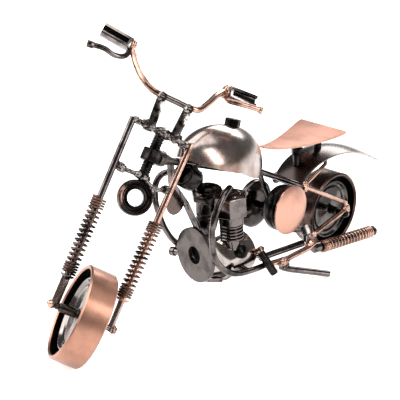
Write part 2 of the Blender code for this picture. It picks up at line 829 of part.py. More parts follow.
crank_bar = joined(
    "crankcase_bar",
    [
        bar_mesh((3.4, 67.8, 13.6), (3.4, 81.6, 11.4), 2.6, 2.4, (1, 0, 0)),
        bar_mesh((4.6, 69.6, 13.0), (6.6, 76.4, 11.4), 2.0, 2.0, (1, 0, 0)),
    ],
    BLACK_NICKEL,
    ROOT,
)
fitted(crank_bar, front_plate, header_left, crankcase)
washer = finish(
    "down_tube_washer",
    turned_mesh([(0, -0.6), (4.9, -0.6), (5.2, -0.3), (5.2, 0.3), (4.9, 0.6), (0, 0.6)],
                (-1.9, 56.9, 50.4), (1, 0, 0), 24),
    GREY_STEEL,
    ROOT,
)
fitted(washer, down_tube, header_right)

# ---------------------------------------------------------------- lower frame and exhaust

exhaust_pipe = finish(
    "exhaust_pipe",
    rod_mesh([(9.4, 99.0, 14.6), (12.0, 125.4, 13.6)], 1.5),
    BLACK_NICKEL,
    ROOT,
)
exhaust_rod = joined(
    "exhaust_rod",
    [
        rod_mesh([(12.4, 102.4, 11.6), (14.2, 111.5, 11.4), (14.2, 126.4, 11.4),
                  (14.2, 131.6, 12.4)], 1.3),
        blob_mesh((13.4, 128.6, 12.7), (2.2, 2.6, 2.3)),
        blob_mesh((14.2, 109.0, 10.8), (2.2, 4.0, 2.2)),
    ],
    COPPER,
    ROOT,
)
fitted(exhaust_pipe, exhaust_rod, crankcase)
fitted(header_left, exhaust_rod)
footpeg = joined(
    "footpeg_left",
    [
        turned_mesh([(0, 0), (1.8, 0.2), (2.5, 1.0), (2.5, 1.8), (1.8, 2.4), (1.8, 13.2), (1.5, 13.8),
                     (0, 13.8)], (9.8, 96.4, 20.4), (0.52, 0.24, -0.82), 12),
        rod_mesh([(11.0, 97.4, 18.4), (8.6, 98.8, 15.6)], 0.9),
        rod_mesh([(14.0, 98.4, 13.4), (12.6, 104.0, 10.9)], 0.9),
    ],
    DARK_COPPER,
    ROOT,
)
fitted(footpeg, header_left, exhaust_pipe, exhaust_rod, crankcase, crank_bolt)
kickstand = joined(
    "kickstand",
    [
        rod_mesh([(14.0, 109.0, 8.0), (15.4, 112.0, 6.6), (24.8, 128.6, 1.36)], 1.4, 12),
        blob_mesh((14.4, 109.6, 8.6), (2.2, 3.2, 1.8)),
    ],
    BLACK_NICKEL,
    ROOT,
)
fitted(kickstand, exhaust_rod)

muffler_rod = joined(
    "muffler_rod",
    [
        rod_mesh([(14.2, 130.2, 10.2), (14.6, 134.0, 9.4), (18.4, 170.4, 6.9)], 1.5),
        turned_mesh([(0, 0), (2.0, 0), (2.5, 0.6), (2.5, 3.4), (1.9, 3.9), (0, 3.9)],
                    (14.2, 130.4, 10.4), (0.1, 0.99, -0.13), 12),
        turned_mesh([(0, 0), (2.0, 0), (2.3, 0.5), (2.0, 1.1), (0, 1.1)], (18.4, 170.2, 6.9),
                    (0.1, 0.99, -0.07), 12),
    ],
    BLACK_NICKEL,
    ROOT,
)
fitted(muffler_rod, exhaust_rod, stay_left)
muffler_axis = Vector((3.8, 36.4, -2.5))
muffler_spring = finish(
    "muffler_spring",
    spring_mesh(34.4, 2.36, 0.48, 4, 12, (14.72, 135.0, 9.32), muffler_axis),
    COPPER,
    ROOT,
)
fitted(stay_left, exhaust_rod)

# ---------------------------------------------------------------- side drums

drum_shaft = finish(
    "drum_shaft",
    rod_mesh([(-6.4, 118.0, 29.2), (3.8, 116.6, 31.8)], 1.6, 12),
    BLACK_STEEL,
    ROOT,
)
dish_left = [(0, 0), (7.6, 0), (9.5, 0.7), (10.2, 2.2), (10.2, 7.4), (9.4, 7.58), (9.2, 7.0),
             (0, 7.0)]
dish_right = [(0, 0), (3.2, 0), (8.6, 0.6), (10.8, 2.0), (11.0, 4.4), (10.2, 4.6), (9.9, 4.0),
              (0, 4.0)]
drum_left = finish("drum_left", turned_mesh(dish_left, (3.5, 116.4, 32.2), (1, 0, 0), 32),
                   BLACK_STEEL, ROOT)
drum_cap = finish(
    "drum_cap_left",
    turned_mesh([(0, 0), (10.3, 0), (10.9, 0.4), (10.9, 1.0), (8.0, 1.9), (4.0, 2.4), (0, 2.5)],
                (11.14, 116.4, 32.2), (1, 0, 0), 36),
    COPPER, ROOT,
)
drum_right = finish("drum_right", turned_mesh(dish_right, (-6.6, 118.0, 29.2), (-1, 0, 0), 32),
                    BLACK_NICKEL, ROOT)
drum_leg = joined(
    "drum_leg",
    [
        rod_mesh([(0.8, 115.4, 34.0), (1.6, 118.2, 23.6), (7.0, 123.4, 19.2),
                  (11.0, 129.0, 18.5)], 1.2),
        prism_mesh(3.0, -1.8, 1.8, (11.0, 129.0, 18.5), (0.8, -0.4, 0.4), 6, 0, 0.3),
        rod_mesh([(11.0, 128.6, 18.0), (12.2, 127.2, 13.0)], 1.2),
        rod_mesh([(0.8, 115.4, 34.0), (0, 109.6, 47.6)], 1.1),
    ],
    BLACK_NICKEL,
    ROOT,
)
fitted(drum_leg, drum_left, exhaust_pipe, exhaust_rod, backbone, rail_left, rail_right)
fitted(drum_shaft, drum_leg, drum_left, drum_right)

# ---------------------------------------------------------------- tank


def tank_mesh():
    """A domed shell, blunter behind than in front, open underneath."""
    bm = bmesh.new()
    rows, around = 7, 24
    layers = []
    for shell in (0.0, TANK_WALL):
        half_l = TANK_HALF_LENGTH - shell
        half_w = TANK_HALF_WIDTH - shell
        tall = TANK_HEIGHT - shell
        rings = []
        for i in range(rows):
            lift = math.pi / 2 * i / rows
            ring = []
            for k in range(around):
                turn = 2 * math.pi * k / around
                front = max(0.0, -math.sin(turn))
                x = half_w * math.cos(turn) * (1 - 0.26 * front ** 2) * math.cos(lift)
                y = half_l * math.sin(turn) * math.cos(lift) ** 0.85
                z = tall * math.sin(lift) * (1 + 0.06 * y / half_l)
                sag = (2.0 + 6.0 * max(0.0, math.sin(turn))) * math.cos(turn) ** 2 * (1 - i / rows) ** 2
                ring.append(bm.verts.new(Vector((x, y, z - sag)) * MM))
            rings.append(ring)
        top = bm.verts.new(Vector((0, 0, tall)) * MM)
        layers.append((rings, top))
    for rings, top in layers:
        for low, high in zip(rings, rings[1:]):
            for k in range(around):
                n = (k + 1) % around
                bm.faces.new((low[k], low[n], high[n], high[k]))
        for k in range(around):
            bm.faces.new((rings[-1][k], rings[-1][(k + 1) % around], top))
    outer, inner = layers[0][0][0], layers[1][0][0]
    for k in range(around):
        n = (k + 1) % around
        bm.faces.new((outer[k], inner[k], inner[n], outer[n]))
    bmesh.ops.recalc_face_normals(bm, faces=bm.faces)
    mesh = bpy.data.meshes.new("tank")
    bm.to_mesh(mesh)
    bm.free()
    tilt = Matrix.Rotation(math.radians(-19.0), 4, "X")
    mesh.transform(Matrix.Translation(Vector((0, 81.8, 61.9)) * MM) @ tilt)
    return mesh


tank = finish("tank", tank_mesh(), BLACK_NICKEL, ROOT)
fitted(tank, backbone, nut_bolt, neck_ring)
tank_cap = joined(
    "tank_cap",
    [
        prism_mesh(3.5, 0.2, 3.3, (0, 90.3, 75.2), (0, 0.3, 0.95), 6, 0.3, 0.3),
        turned_mesh([(0, -2.2), (1.9, -2.2), (1.9, 0.6), (0, 0.6)], (0, 90.3, 75.2),
                    (0, 0.3, 0.95), 12),
    ],
    BLACK_STEEL,
    ROOT,
)
fitted(tank_cap, tank)

# ---------------------------------------------------------------- seat and fender


def sheet_mesh(rows, thick, columns=4):
    """A bent sheet: rows of (y, z, half width, crown) joined across, with a thickness."""
    bm = bmesh.new()
    grid = []
    for y, z, half, crown in rows:
        line = []
        for k in range(columns + 1):
            u = 2 * k / columns - 1
            line.append(bm.verts.new(Vector((half * u, y, z - crown * u * u)) * MM))
        grid.append(line)
    for low, high in zip(grid, grid[1:]):
        for k in range(columns):
            bm.faces.new((low[k], low[k + 1], high[k + 1], high[k]))
    mesh = bpy.data.meshes.new("sheet")
    bm.to_mesh(mesh)
    bm.free()
    obj = helper(mesh)
    solid = obj.modifiers.new("Thickness", "SOLIDIFY")
    solid.thickness = thick * MM
    solid.offset = 0
    bpy.context.view_layer.update()
    made = evaluated_mesh(obj)
    bpy.data.objects.remove(obj)
    return made


seat = finish(
    "seat",
    sheet_mesh(
        [(110.6, 60.4, 1.2, 0), (114.0, 59.2, 2.6, 0), (119.0, 58.2, 4.2, 0.1),
         (126.0, 57.6, 6.0, 0.3), (134.0, 57.4, 8.2, 0.5), (142.0, 57.5, 10.4, 0.5),
         (149.0, 57.8, 12.2, 0.3), (153.2, 58.1, 12.9, 0.1), (154.6, 58.2, 12.0, 0)],
        SEAT_THICK),
    COPPER,
    ROOT,
)
fender = finish(
    "rear_fender",
    sheet_mesh(
        [(128.6, 39.2, 7.6, 1.2), (133.0, 43.8, 8.0, 1.6), (140.0, 47.4, 8.2, 1.9),
         (148.0, 48.6, 8.4, 2.0), (156.0, 48.4, 8.5, 2.0), (164.0, 47.0, 8.5, 1.9),
         (172.0, 44.2, 8.0, 1.6), (180.0, 40.2, 6.8, 1.2), (188.0, 35.6, 4.8, 0.8),
         (194.6, 31.6, 2.8, 0.4), (199.4, 28.8, 1.2, 0.1)],
        FENDER_THICK),
    BLACK_NICKEL,
    ROOT,
)
fitted(fender, stay_left, stay_right, rail_left, rail_right)
seat_posts = []
for name, y, foot, top in (("front", 135.4, 45.2, 56.9), ("rear", 150.6, 48.2, 57.4)):
    post = joined(
        f"seat_post_{name}",
        [
            turned_mesh([(0, 0), (1.7, 0), (1.7, top - foot), (0, top - foot)], (0, y, foot),
                        (0, 0, 1), 12),
            prism_mesh(2.7, 5.0, 8.2, (0, y, foot), (0, 0, 1), 6, 0.3, 0.3),
        ],
        BLACK_STEEL,
        ROOT,
    )
    fitted(post, fender, seat)
    seat_posts.append(post)

smooth(nut_bolt, neck_ring, backbone, rear_axle, *stays, *rails, front_plate, crankcase, washer,
       crank_bolt, cylinder_right, cylinder_left, spark_bolt, header_left, header_right,
       plate_bolt, crank_bar, exhaust_pipe, exhaust_rod, footpeg, kickstand, muffler_rod,
       muffler_spring, drum_shaft, drum_left, drum_cap, drum_right, drum_leg, tank, seat, fender,
       *seat_posts)
bpy.data.collections.remove(CUTTERS)
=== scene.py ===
"""Dresses the welded chopper desk model: plated rods, springs, rings, nuts and bolts.

+X is the rider's left, -Y is forwards, +Z is up and the ground is z = 0. Each piece is
modelled in millimetres in the frame it belongs to, then set in metres in its mesh.
"""

import json
import math

import bpy
from bpy.props import FloatProperty, FloatVectorProperty, IntProperty, PointerProperty
from mathutils import Matrix, Vector


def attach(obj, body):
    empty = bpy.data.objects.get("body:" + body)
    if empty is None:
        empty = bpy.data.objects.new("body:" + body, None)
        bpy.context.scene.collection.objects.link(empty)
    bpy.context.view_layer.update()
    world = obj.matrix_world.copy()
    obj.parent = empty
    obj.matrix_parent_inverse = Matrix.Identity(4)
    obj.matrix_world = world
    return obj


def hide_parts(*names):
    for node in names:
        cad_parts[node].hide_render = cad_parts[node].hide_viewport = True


bl_info = {
    "name": "Chopper desk model",
    "version": (1, 0, 0),
    "blender": (4, 5, 0),
    "location": "View3D > Sidebar > Chopper",
    "description": "Models and finishes a welded chopper made of rods, springs and bolts",
    "category": "Object",
}

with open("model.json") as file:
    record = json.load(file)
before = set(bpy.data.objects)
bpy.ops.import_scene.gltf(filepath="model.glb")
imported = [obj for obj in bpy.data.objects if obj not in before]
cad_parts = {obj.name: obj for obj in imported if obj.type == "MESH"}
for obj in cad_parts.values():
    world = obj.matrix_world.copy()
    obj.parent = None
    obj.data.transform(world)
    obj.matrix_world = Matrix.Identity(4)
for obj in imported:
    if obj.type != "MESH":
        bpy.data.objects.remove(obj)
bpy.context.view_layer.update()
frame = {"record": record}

MM = 0.001
JOINTS = {joint["name"]: joint for joint in frame["record"]["behaviour"]["joints"]}


def axis_of(joint):
    return Vector(JOINTS[joint]["axis"]).normalized()


def place_of(joint):
    return Vector(JOINTS[joint]["pos_m"])


# Frames: the welded frame stands under the front axle, the fork on the steering axis.
FRONT_AXLE = place_of("front_wheel_spin")
REAR_AXLE = place_of("rear_wheel_spin")
ACROSS_FORK = axis_of("front_wheel_spin")
UP_FORK = axis_of("steering")
BACK_FORK = UP_FORK.cross(ACROSS_FORK)
FORK = Matrix.Translation(FRONT_AXLE) @ Matrix(
    (ACROSS_FORK, BACK_FORK, UP_FORK)
).transposed().to_4x4()
ROOT = Matrix.Translation((FRONT_AXLE.x, FRONT_AXLE.y, 0))
REAR = Matrix.Translation(REAR_AXLE)
RAKE = math.asin(UP_FORK.y)
HEAD = Matrix.Translation(FRONT_AXLE) @ Matrix.Rotation(-RAKE, 4, "X")


# ---------------------------------------------------------------- settings


def colour(value):
    """An sRGB hex colour as linear RGBA; a linear RGB colour only gains its alpha."""
    if not isinstance(value, str):
        return (*value, 1.0)
    parts = [int(value[k:k + 2], 16) / 255 for k in (1, 3, 5)]
    linear = [c / 12.92 if c <= 0.04045 else ((c + 0.055) / 1.055) ** 2.4 for c in parts]
    return (*linear, 1.0)


class ChopperSizes(bpy.types.PropertyGroup):
    """Sizes that a maker would change, in millimetres."""

    wheel_steps: IntProperty(
        name="Wheel steps", description="Flats round a wheel ring", default=96, min=24)
    ring_wall: FloatProperty(
        name="Ring wall", description="Thickness of a wheel ring", default=1.7, min=0.5)
    front_radius: FloatProperty(
        name="Front ring radius", description="Outer radius of the front ring", default=20.0)
    rear_radius: FloatProperty(
        name="Rear ring radius", description="Outer radius of the rear ring",
        default=REAR_AXLE.z / MM)
    spring_radius: FloatProperty(
        name="Spring radius", description="Radius of the fork spring's coil", default=2.72)
    spring_wire: FloatProperty(
        name="Spring wire", description="Radius of the fork spring's wire", default=0.46)
    spring_turns: IntProperty(
        name="Open turns", description="Open turns of a spring", default=12, min=3)
    bar_radius: FloatProperty(
        name="Bar radius", description="Radius of the handlebar", default=1.35)
    bead_grain: FloatProperty(
        name="Weld grain", description="Size of the ripples on a weld bead", default=1.5)
    bead_height: FloatProperty(
        name="Weld height", description="Height of the ripples on a weld bead", default=0.55)


def finish_colour(label, told, hex_code):
    return FloatVectorProperty(
        name=label, description=told, subtype="COLOR", default=colour(hex_code)[:3], min=0.0,
        max=1.0)


class ChopperColours(bpy.types.PropertyGroup):
    """The bright tone of each finish."""

    black_nickel: finish_colour("Black nickel", "Bright plate on rods", "#6C6462")
    weld_nickel: finish_colour("Weld nickel", "Plate over weld metal", "#8C8480")
    blackened: finish_colour("Blackened steel", "Nuts, studs and posts", "#2E2A29")
    ground_steel: finish_colour("Ground steel", "Washers ground flat", "#5F5855")
    shield_steel: finish_colour("Shield steel", "Shields of the wheels", "#7C7673")
    mirror_nickel: finish_colour("Polished nickel", "Tank and fender", "#A89E99")
    old_copper: finish_colour("Antique copper", "Bar, stays and fork leg", "#BB9685")
    spring_copper: finish_colour("Dark copper", "Spring wire", "#75594D")
    tread_copper: finish_colour("Brushed copper", "Front tread", "#AE806C")
    seat_copper: finish_colour("Pale copper", "Seat and cap", "#C59582")


class ChopperStage(bpy.types.PropertyGroup):
    """Strengths of the stage lights and the colour of the floor."""

    key_power: FloatProperty(
        name="Key light", description="Power of the large light on the left", default=15.0,
        min=0.0, unit="POWER")
    top_power: FloatProperty(
        name="Top light", description="Power of the wide light overhead", default=9.0,
        min=0.0, unit="POWER")
    side_power: FloatProperty(
        name="Side light", description="Power of the narrow light on the right", default=5.0,
        min=0.0, unit="POWER")
    rim_power: FloatProperty(
        name="Rim light", description="Power of the light behind", default=6.0,
        min=0.0, unit="POWER")
    floor_colour: FloatVectorProperty(
        name="Floor", description="Colour of the floor", subtype="COLOR",
        default=(0.90, 0.90, 0.90), min=0.0, max=1.0)


def sizes():
    return bpy.context.scene.chopper_sizes


def colours():
    return bpy.context.scene.chopper_colours


def stage_settings():
    return bpy.context.scene.chopper_stage


# ---------------------------------------------------------------- modelling


def select_only(*objects):
    bpy.ops.object.select_all(action="DESELECT")
    for each in objects:
        each.select_set(True)
    bpy.context.view_layer.objects.active = objects[0]


def shaped(obj, kind, **settings):
    """Add one modifier and apply it."""
    select_only(obj)
    modifier = obj.modifiers.new(kind.title(), kind)
    for key, value in settings.items():
        setattr(modifier, key, value)
    bpy.ops.object.modifier_apply(modifier=modifier.name)
    return obj


def turned_to(toward):
    return Vector(toward).normalized().to_track_quat("Z", "Y").to_matrix().to_4x4()


def aimed(at, toward, spin=0.0):
    """The matrix that sets a piece at a point with its own Z along toward."""
    return Matrix.Translation(at) @ turned_to(toward) @ Matrix.Rotation(spin, 4, "Z")


def moved(obj, place):
    """Set a matrix into the mesh, so the object stays at the origin."""
    select_only(obj)
    bpy.ops.object.transform_apply(location=True, rotation=True, scale=True)
    obj.data.transform(place)
    return obj


def turned(profile, at=(0, 0, 0), toward=(0, 0, 1), steps=40, bore=False, edge=0.0):
    """A lathe piece: a circle extruded and resized from station to station of a profile."""
    radius, height = profile[0]
    radius = max(radius, 0.02)
    bpy.ops.object.select_all(action="DESELECT")
    bpy.ops.mesh.primitive_circle_add(
        vertices=steps, radius=radius, fill_type="NOTHING" if bore else "NGON")
    obj = bpy.context.object
    bpy.ops.object.mode_set(mode="EDIT")
    bpy.ops.mesh.select_all(action="SELECT")
    bpy.ops.transform.translate(value=(0, 0, height))
    for next_radius, next_height in profile[1:]:
        next_radius = max(next_radius, 0.02)
        bpy.ops.mesh.extrude_region_move(
            TRANSFORM_OT_translate={"value": (0, 0, next_height - height)})
        grow = next_radius / radius
        bpy.ops.transform.resize(value=(grow, grow, 1), center_override=(0, 0, 0))
        radius, height = next_radius, next_height
    bpy.ops.mesh.select_all(action="SELECT")
    if bore:
        bpy.ops.mesh.remove_doubles(threshold=0.001)
    bpy.ops.mesh.normals_make_consistent(inside=False)
    bpy.ops.object.mode_set(mode="OBJECT")
    if edge:
        shaped(obj, "BEVEL", width=edge, segments=2, limit_method="ANGLE",
               angle_limit=math.radians(40))
    return moved(obj, aimed(at, toward))


def hexagon(radius, low, high, at=(0, 0, 0), toward=(0, 0, 1), spin=0.0, edge=0.35):
    """A nut or a bolt's head, its edges broken all round."""
    bpy.ops.object.select_all(action="DESELECT")
    bpy.ops.mesh.primitive_cylinder_add(
        vertices=6, radius=radius, depth=high - low, location=(0, 0, (low + high) / 2))
    obj = bpy.context.object
    moved(obj, Matrix.Identity(4))
    shaped(obj, "BEVEL", width=edge, segments=3, limit_method="ANGLE",
           angle_limit=math.radians(35))
    return moved(obj, aimed(at, toward, spin))


def rod(points, radius, bent=False, steps=5):
    """A round rod along a path, straight between its points or bent smoothly through them."""
    bpy.ops.object.select_all(action="DESELECT")
    bpy.ops.curve.primitive_bezier_curve_add()
    obj = bpy.context.object
    curve = obj.data
    curve.dimensions = "3D"
    path = curve.splines[0]
    path.bezier_points.add(len(points) - 2)
    for knot, point in zip(path.bezier_points, points):
        knot.co = point
        knot.handle_left_type = knot.handle_right_type = "AUTO" if bent else "VECTOR"
    path.resolution_u = 8 if bent else 1
    curve.resolution_u = path.resolution_u
    curve.bevel_depth = radius
    curve.bevel_resolution = steps
    curve.use_fill_caps = True
    select_only(obj)
    bpy.ops.object.convert(target="MESH")
    return bpy.context.object


def bar(start, end, width, depth, side, edge=0.3):
    """A square bar from one point to another; side is the way its width lies."""
    start, end = Vector(start), Vector(end)
    along = (end - start).normalized()
    deep = along.cross(Vector(side)).normalized()
    wide = deep.cross(along).normalized()
    bpy.ops.object.select_all(action="DESELECT")
    bpy.ops.mesh.primitive_cube_add(size=1)
    obj = bpy.context.object
    obj.data.transform(Matrix.Diagonal((width, depth, (end - start).length, 1)))
    shaped(obj, "BEVEL", width=edge, segments=2, limit_method="ANGLE")
    turn = Matrix((wide, deep, along)).transposed().to_4x4()
    return moved(obj, Matrix.Translation((start + end) / 2) @ turn)


def lump(at, radii):
    """The ball a weld bead starts from."""
    bpy.ops.object.select_all(action="DESELECT")
    bpy.ops.mesh.primitive_uv_sphere_add(segments=20, ring_count=10, radius=1)
    return moved(bpy.context.object, Matrix.Translation(at) @ Matrix.Diagonal((*radii, 1)))


CLOSE_TURNS = 4  # turns lying together at each end of a spring
CLOSE_PITCH = 1.16  # their pitch, in wire thicknesses
COIL_STEPS = 20  # straight steps in one turn
THREAD_STEPS = 16  # straight steps in one turn of a screw thread


def coil(length, radius, wire, open_turns, at, toward):
    """Spring wire wound with close turns at both ends and open turns between."""
    pitch = 2 * wire * CLOSE_PITCH
    wide = (length - 2 * wire - 2 * CLOSE_TURNS * pitch) / open_turns
    points = []
    height = wire
    ends = [pitch] * CLOSE_TURNS
    for rise in ends + [wide] * open_turns + ends:
        for k in range(COIL_STEPS):
            angle = 2 * math.pi * k / COIL_STEPS
            points.append((radius * math.cos(angle), radius * math.sin(angle),
                           height + rise * k / COIL_STEPS))
        height += rise
    obj = rod(points, wire, steps=2)
    return moved(obj, aimed(at, toward))


def thread(low, high, radius, pitch, at=(0, 0, 0), toward=(0, 0, 1), sides=1):
    """The ridge of a screw thread."""
    turns = int((high - low) / pitch)
    points = [
        (radius * math.cos(2 * math.pi * k / THREAD_STEPS),
         radius * math.sin(2 * math.pi * k / THREAD_STEPS), low + pitch * k / THREAD_STEPS)
        for k in range(THREAD_STEPS * turns)
    ]
    obj = rod(points, pitch * 0.30, steps=sides)
    return moved(obj, aimed(at, toward))


def together(shapes):
    select_only(*shapes)
    if len(shapes) > 1:
        bpy.ops.object.join()
    return bpy.context.object


def cut(obj, tool):
    shaped(obj, "BOOLEAN", operation="DIFFERENCE", object=tool, solver="EXACT")
    bpy.data.objects.remove(tool)
    return obj


def welded(shapes, beads, grain=0.22):
    """Rods run together with lumps of weld metal: beads are (place, radii)."""
    metal = together([lump(at, radii) for at, radii in beads])
    shaped(metal, "REMESH", mode="VOXEL", voxel_size=grain, use_smooth_shade=True)
    ripple = bpy.data.textures.get("weld_ripple") or bpy.data.textures.new(
        "weld_ripple", "CLOUDS")
    ripple.noise_scale = sizes().bead_grain
    ripple.noise_depth = 2
    shaped(metal, "DISPLACE", texture=ripple, texture_coords="LOCAL", mid_level=0.5,
           strength=2.4 * sizes().bead_height)
    shaped(metal, "SMOOTH", factor=0.5, iterations=2)
    return together([metal] + list(shapes))


def finished(shapes, name, place, body, slot, material, angle=32, second=None):
    """Set the piece in its place, give it its finish, name it after the part it stands for and
    hide that part.

    second is (material, test): faces whose centre in millimetres passes have that finish.
    """
    obj = together(list(shapes))
    passed = [bool(second and second[1](face.center)) for face in obj.data.polygons]
    obj.data.transform(place @ Matrix.Scale(MM, 4))
    obj.name = f"{name}_piece"
    obj.data.name = obj.name
    obj.data.materials.clear()
    obj.data.materials.append(material)
    if second:
        obj.data.materials.append(second[0])
    for face, other in zip(obj.data.polygons, passed):
        face.material_index = int(other)
    select_only(obj)
    bpy.ops.object.shade_smooth_by_angle(angle=math.radians(angle))
    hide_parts(name)
    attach(obj, body)
    return obj


def on_fork(shapes, name, slot, material, **more):
    """A piece that turns with the fork, its Z up the steering axis."""
    return finished(shapes, name, FORK, "fork", slot, material, **more)


def on_frame(shapes, name, slot, material, **more):
    """A piece of the standing frame, measured from the ground under the front axle."""
    return finished(shapes, name, ROOT, "frame", slot, material, **more)


# ---------------------------------------------------------------- finishes


def add(tree, kind, settings=None, **inputs):
    """Add a node with its settings, its values and its links."""
    node = tree.nodes.new(kind)
    for key, value in (settings or {}).items():
        setattr(node, key, value)
    for key, value in inputs.items():
        name = key.replace("_", " ")
        socket = node.inputs[int(name[1:])] if name[0] == "i" and name[1:].isdigit() else (
            node.inputs[name])
        if isinstance(value, bpy.types.NodeSocket):
            tree.links.new(value, socket)
        else:
            socket.default_value = value
    return node


def plated(name, light, dark, patina, rough, grain=0.5, bump=0.15, brush=None, spot=None,
           painted_light_side=None):
    """Plated steel: a bright tone and a dark patina in patches, with a fine grain.

    patina is (patch size mm, share of dark), rough is (smooth, rough), grain is in mm,
    brush is (axis, spacing mm, strength) for straight lines, and spot is the centre of
    round ones. The patches are patina; on the tank their copper-brown tone is a painted
    reflection of copper. The last argument is a ramp of painted light and shade,
    (axis, start, from mm, to mm): painted shade before and the light tone after.
    """
    found = bpy.data.materials.get(name)
    if found:
        return found
    material = bpy.data.materials.new(name)
    material.use_nodes = True
    tree = material.node_tree
    shader = tree.nodes["Principled BSDF"]
    shader.inputs["Metallic"].default_value = 1.0
    place = add(tree, "ShaderNodeTexCoord").outputs["Object"]
    patch, share = patina
    cloud = add(tree, "ShaderNodeTexNoise", Vector=place, Scale=1 / (patch * MM), Detail=4.0,
                Roughness=0.6)
    spread = add(tree, "ShaderNodeMapRange", Value=cloud.outputs["Fac"],
                 From_Min=0.62 - share * 0.5, From_Max=0.78 - share * 0.4)
    patches_and_painted_light = spread.outputs["Result"]
    # Painted light and shade: a ramp along a fixed axis keeps the dark tone on one side and the
    # light tone on the other.
    if painted_light_side:
        axis, start, low, high = painted_light_side
        offset = add(tree, "ShaderNodeVectorMath", {"operation": "SUBTRACT"}, i0=place,
                     i1=tuple(start))
        reach = add(tree, "ShaderNodeVectorMath", {"operation": "DOT_PRODUCT"},
                    i0=offset.outputs["Vector"], i1=tuple(axis))
        painted_light_node = add(tree, "ShaderNodeMapRange", Value=reach.outputs["Value"],
                   From_Min=low * MM, From_Max=high * MM, To_Min=1.0, To_Max=0.0)
        both = add(tree, "ShaderNodeMath", {"operation": "MAXIMUM"}, i0=patches_and_painted_light,
                   i1=painted_light_node.outputs["Result"])
        patches_and_painted_light = both.outputs["Value"]
    tone = add(tree, "ShaderNodeMix", {"data_type": "RGBA"}, i0=patches_and_painted_light, i6=colour(light),
               i7=colour(dark))
    fine = add(tree, "ShaderNodeTexNoise", Vector=place, Scale=1 / (grain * MM), Detail=3.0)
    height = fine.outputs["Fac"]
    if brush:
        axis, spacing, strength = brush
        if spot:
            away = add(tree, "ShaderNodeVectorMath", {"operation": "DISTANCE"}, i0=place,
                       i1=spot)
            along = away.outputs["Value"]
        else:
            away = add(tree, "ShaderNodeVectorMath", {"operation": "DOT_PRODUCT"}, i0=place,
                       i1=tuple(axis))
            along = away.outputs["Value"]
        lines = add(tree, "ShaderNodeTexNoise", {"noise_dimensions": "1D"}, W=along,
                    Scale=1 / (spacing * MM), Detail=2.0)
        mixed = add(tree, "ShaderNodeMix", {"data_type": "FLOAT"}, i0=strength,
                    i2=fine.outputs["Fac"], i3=lines.outputs["Fac"])
        height = mixed.outputs["Result"]
    shade = add(tree, "ShaderNodeMapRange", Value=height, From_Min=0.3, From_Max=0.7,
                To_Min=0.86, To_Max=1.08)
    scaled = add(tree, "ShaderNodeVectorMath", {"operation": "SCALE"},
                 i0=tone.outputs["Result"], Scale=shade.outputs["Result"])
    gloss = add(tree, "ShaderNodeMapRange", Value=height, From_Min=0.3, From_Max=0.7,
                To_Min=rough[0], To_Max=rough[1])
    relief = add(tree, "ShaderNodeBump", Strength=bump, Distance=0.06 * MM, Height=height)
    tree.links.new(scaled.outputs["Vector"], shader.inputs["Base Color"])
    tree.links.new(gloss.outputs["Result"], shader.inputs["Roughness"])
    tree.links.new(relief.outputs["Normal"], shader.inputs["Normal"])
    return material


def black_nickel():
    """Bright black nickel plate over steel: a smoky mirror with brown and black patches."""
    return plated("black_nickel_plate", colours().black_nickel, "#2C2625", (10.0, 0.35),
                  (0.11, 0.18))


def weld_nickel():
    """Black nickel over weld metal: the same tone, rougher and patchier."""
    return plated("black_nickel_on_weld", colours().weld_nickel, "#241F1E", (2.2, 0.45),
                  (0.12, 0.22), bump=0.3)


def dark_nickel():
    """Blackened steel as on nuts and studs: dark, satin, faintly brown."""
    return plated("blackened_steel", colours().blackened, "#110F0F", (6.0, 0.45),
                  (0.20, 0.32))


def painted_shade_black():
    """Near-black painted shade, laid inside the rings, the slots and the shields' recesses and
    behind the plate's hole.
    """
    return plated("near_black_painted_shade", "#161413", "#090808", (5.0, 0.4),
                  (0.34, 0.5))


def grey_steel():
    """Satin steel washer with a thin dark plate: warm grey, ground flat."""
    return plated("ground_grey_steel", colours().ground_steel, "#443E3C", (6.0, 0.35),
                  (0.28, 0.40), grain=0.35)


def shield_steel(name, share):
    """Pressed steel bearing shield: grey, dark in the patches that were never rubbed."""
    return plated(f"pressed_steel_{name}", colours().shield_steel, "#2C2827", (16.0, share),
                  (0.12, 0.2), bump=0.05)


def antique_copper():
    """Copper plate darkened and rubbed back: pinkish, brown in the patches."""
    return plated("antique_copper_plate", colours().old_copper, "#51382F", (9.0, 0.28),
                  (0.16, 0.26))


def dark_copper():
    """The same plate left dark, as on spring wire."""
    return plated("darkened_copper_wire", colours().spring_copper, "#1D1716", (7.0, 0.45),
                  (0.14, 0.24))


def brushed_copper(part, tone, axis, spot=None, spacing=0.35, rough=(0.28, 0.42)):
    """Brushed copper plate with lines from the abrasive belt."""
    dark = [c * 0.72 for c in tone]
    return plated(f"brushed_copper_{part}", tone, dark, (14.0, 0.3), rough,
                  bump=0.4, brush=(axis, spacing, 0.85), spot=spot)


# ---------------------------------------------------------------- wheels


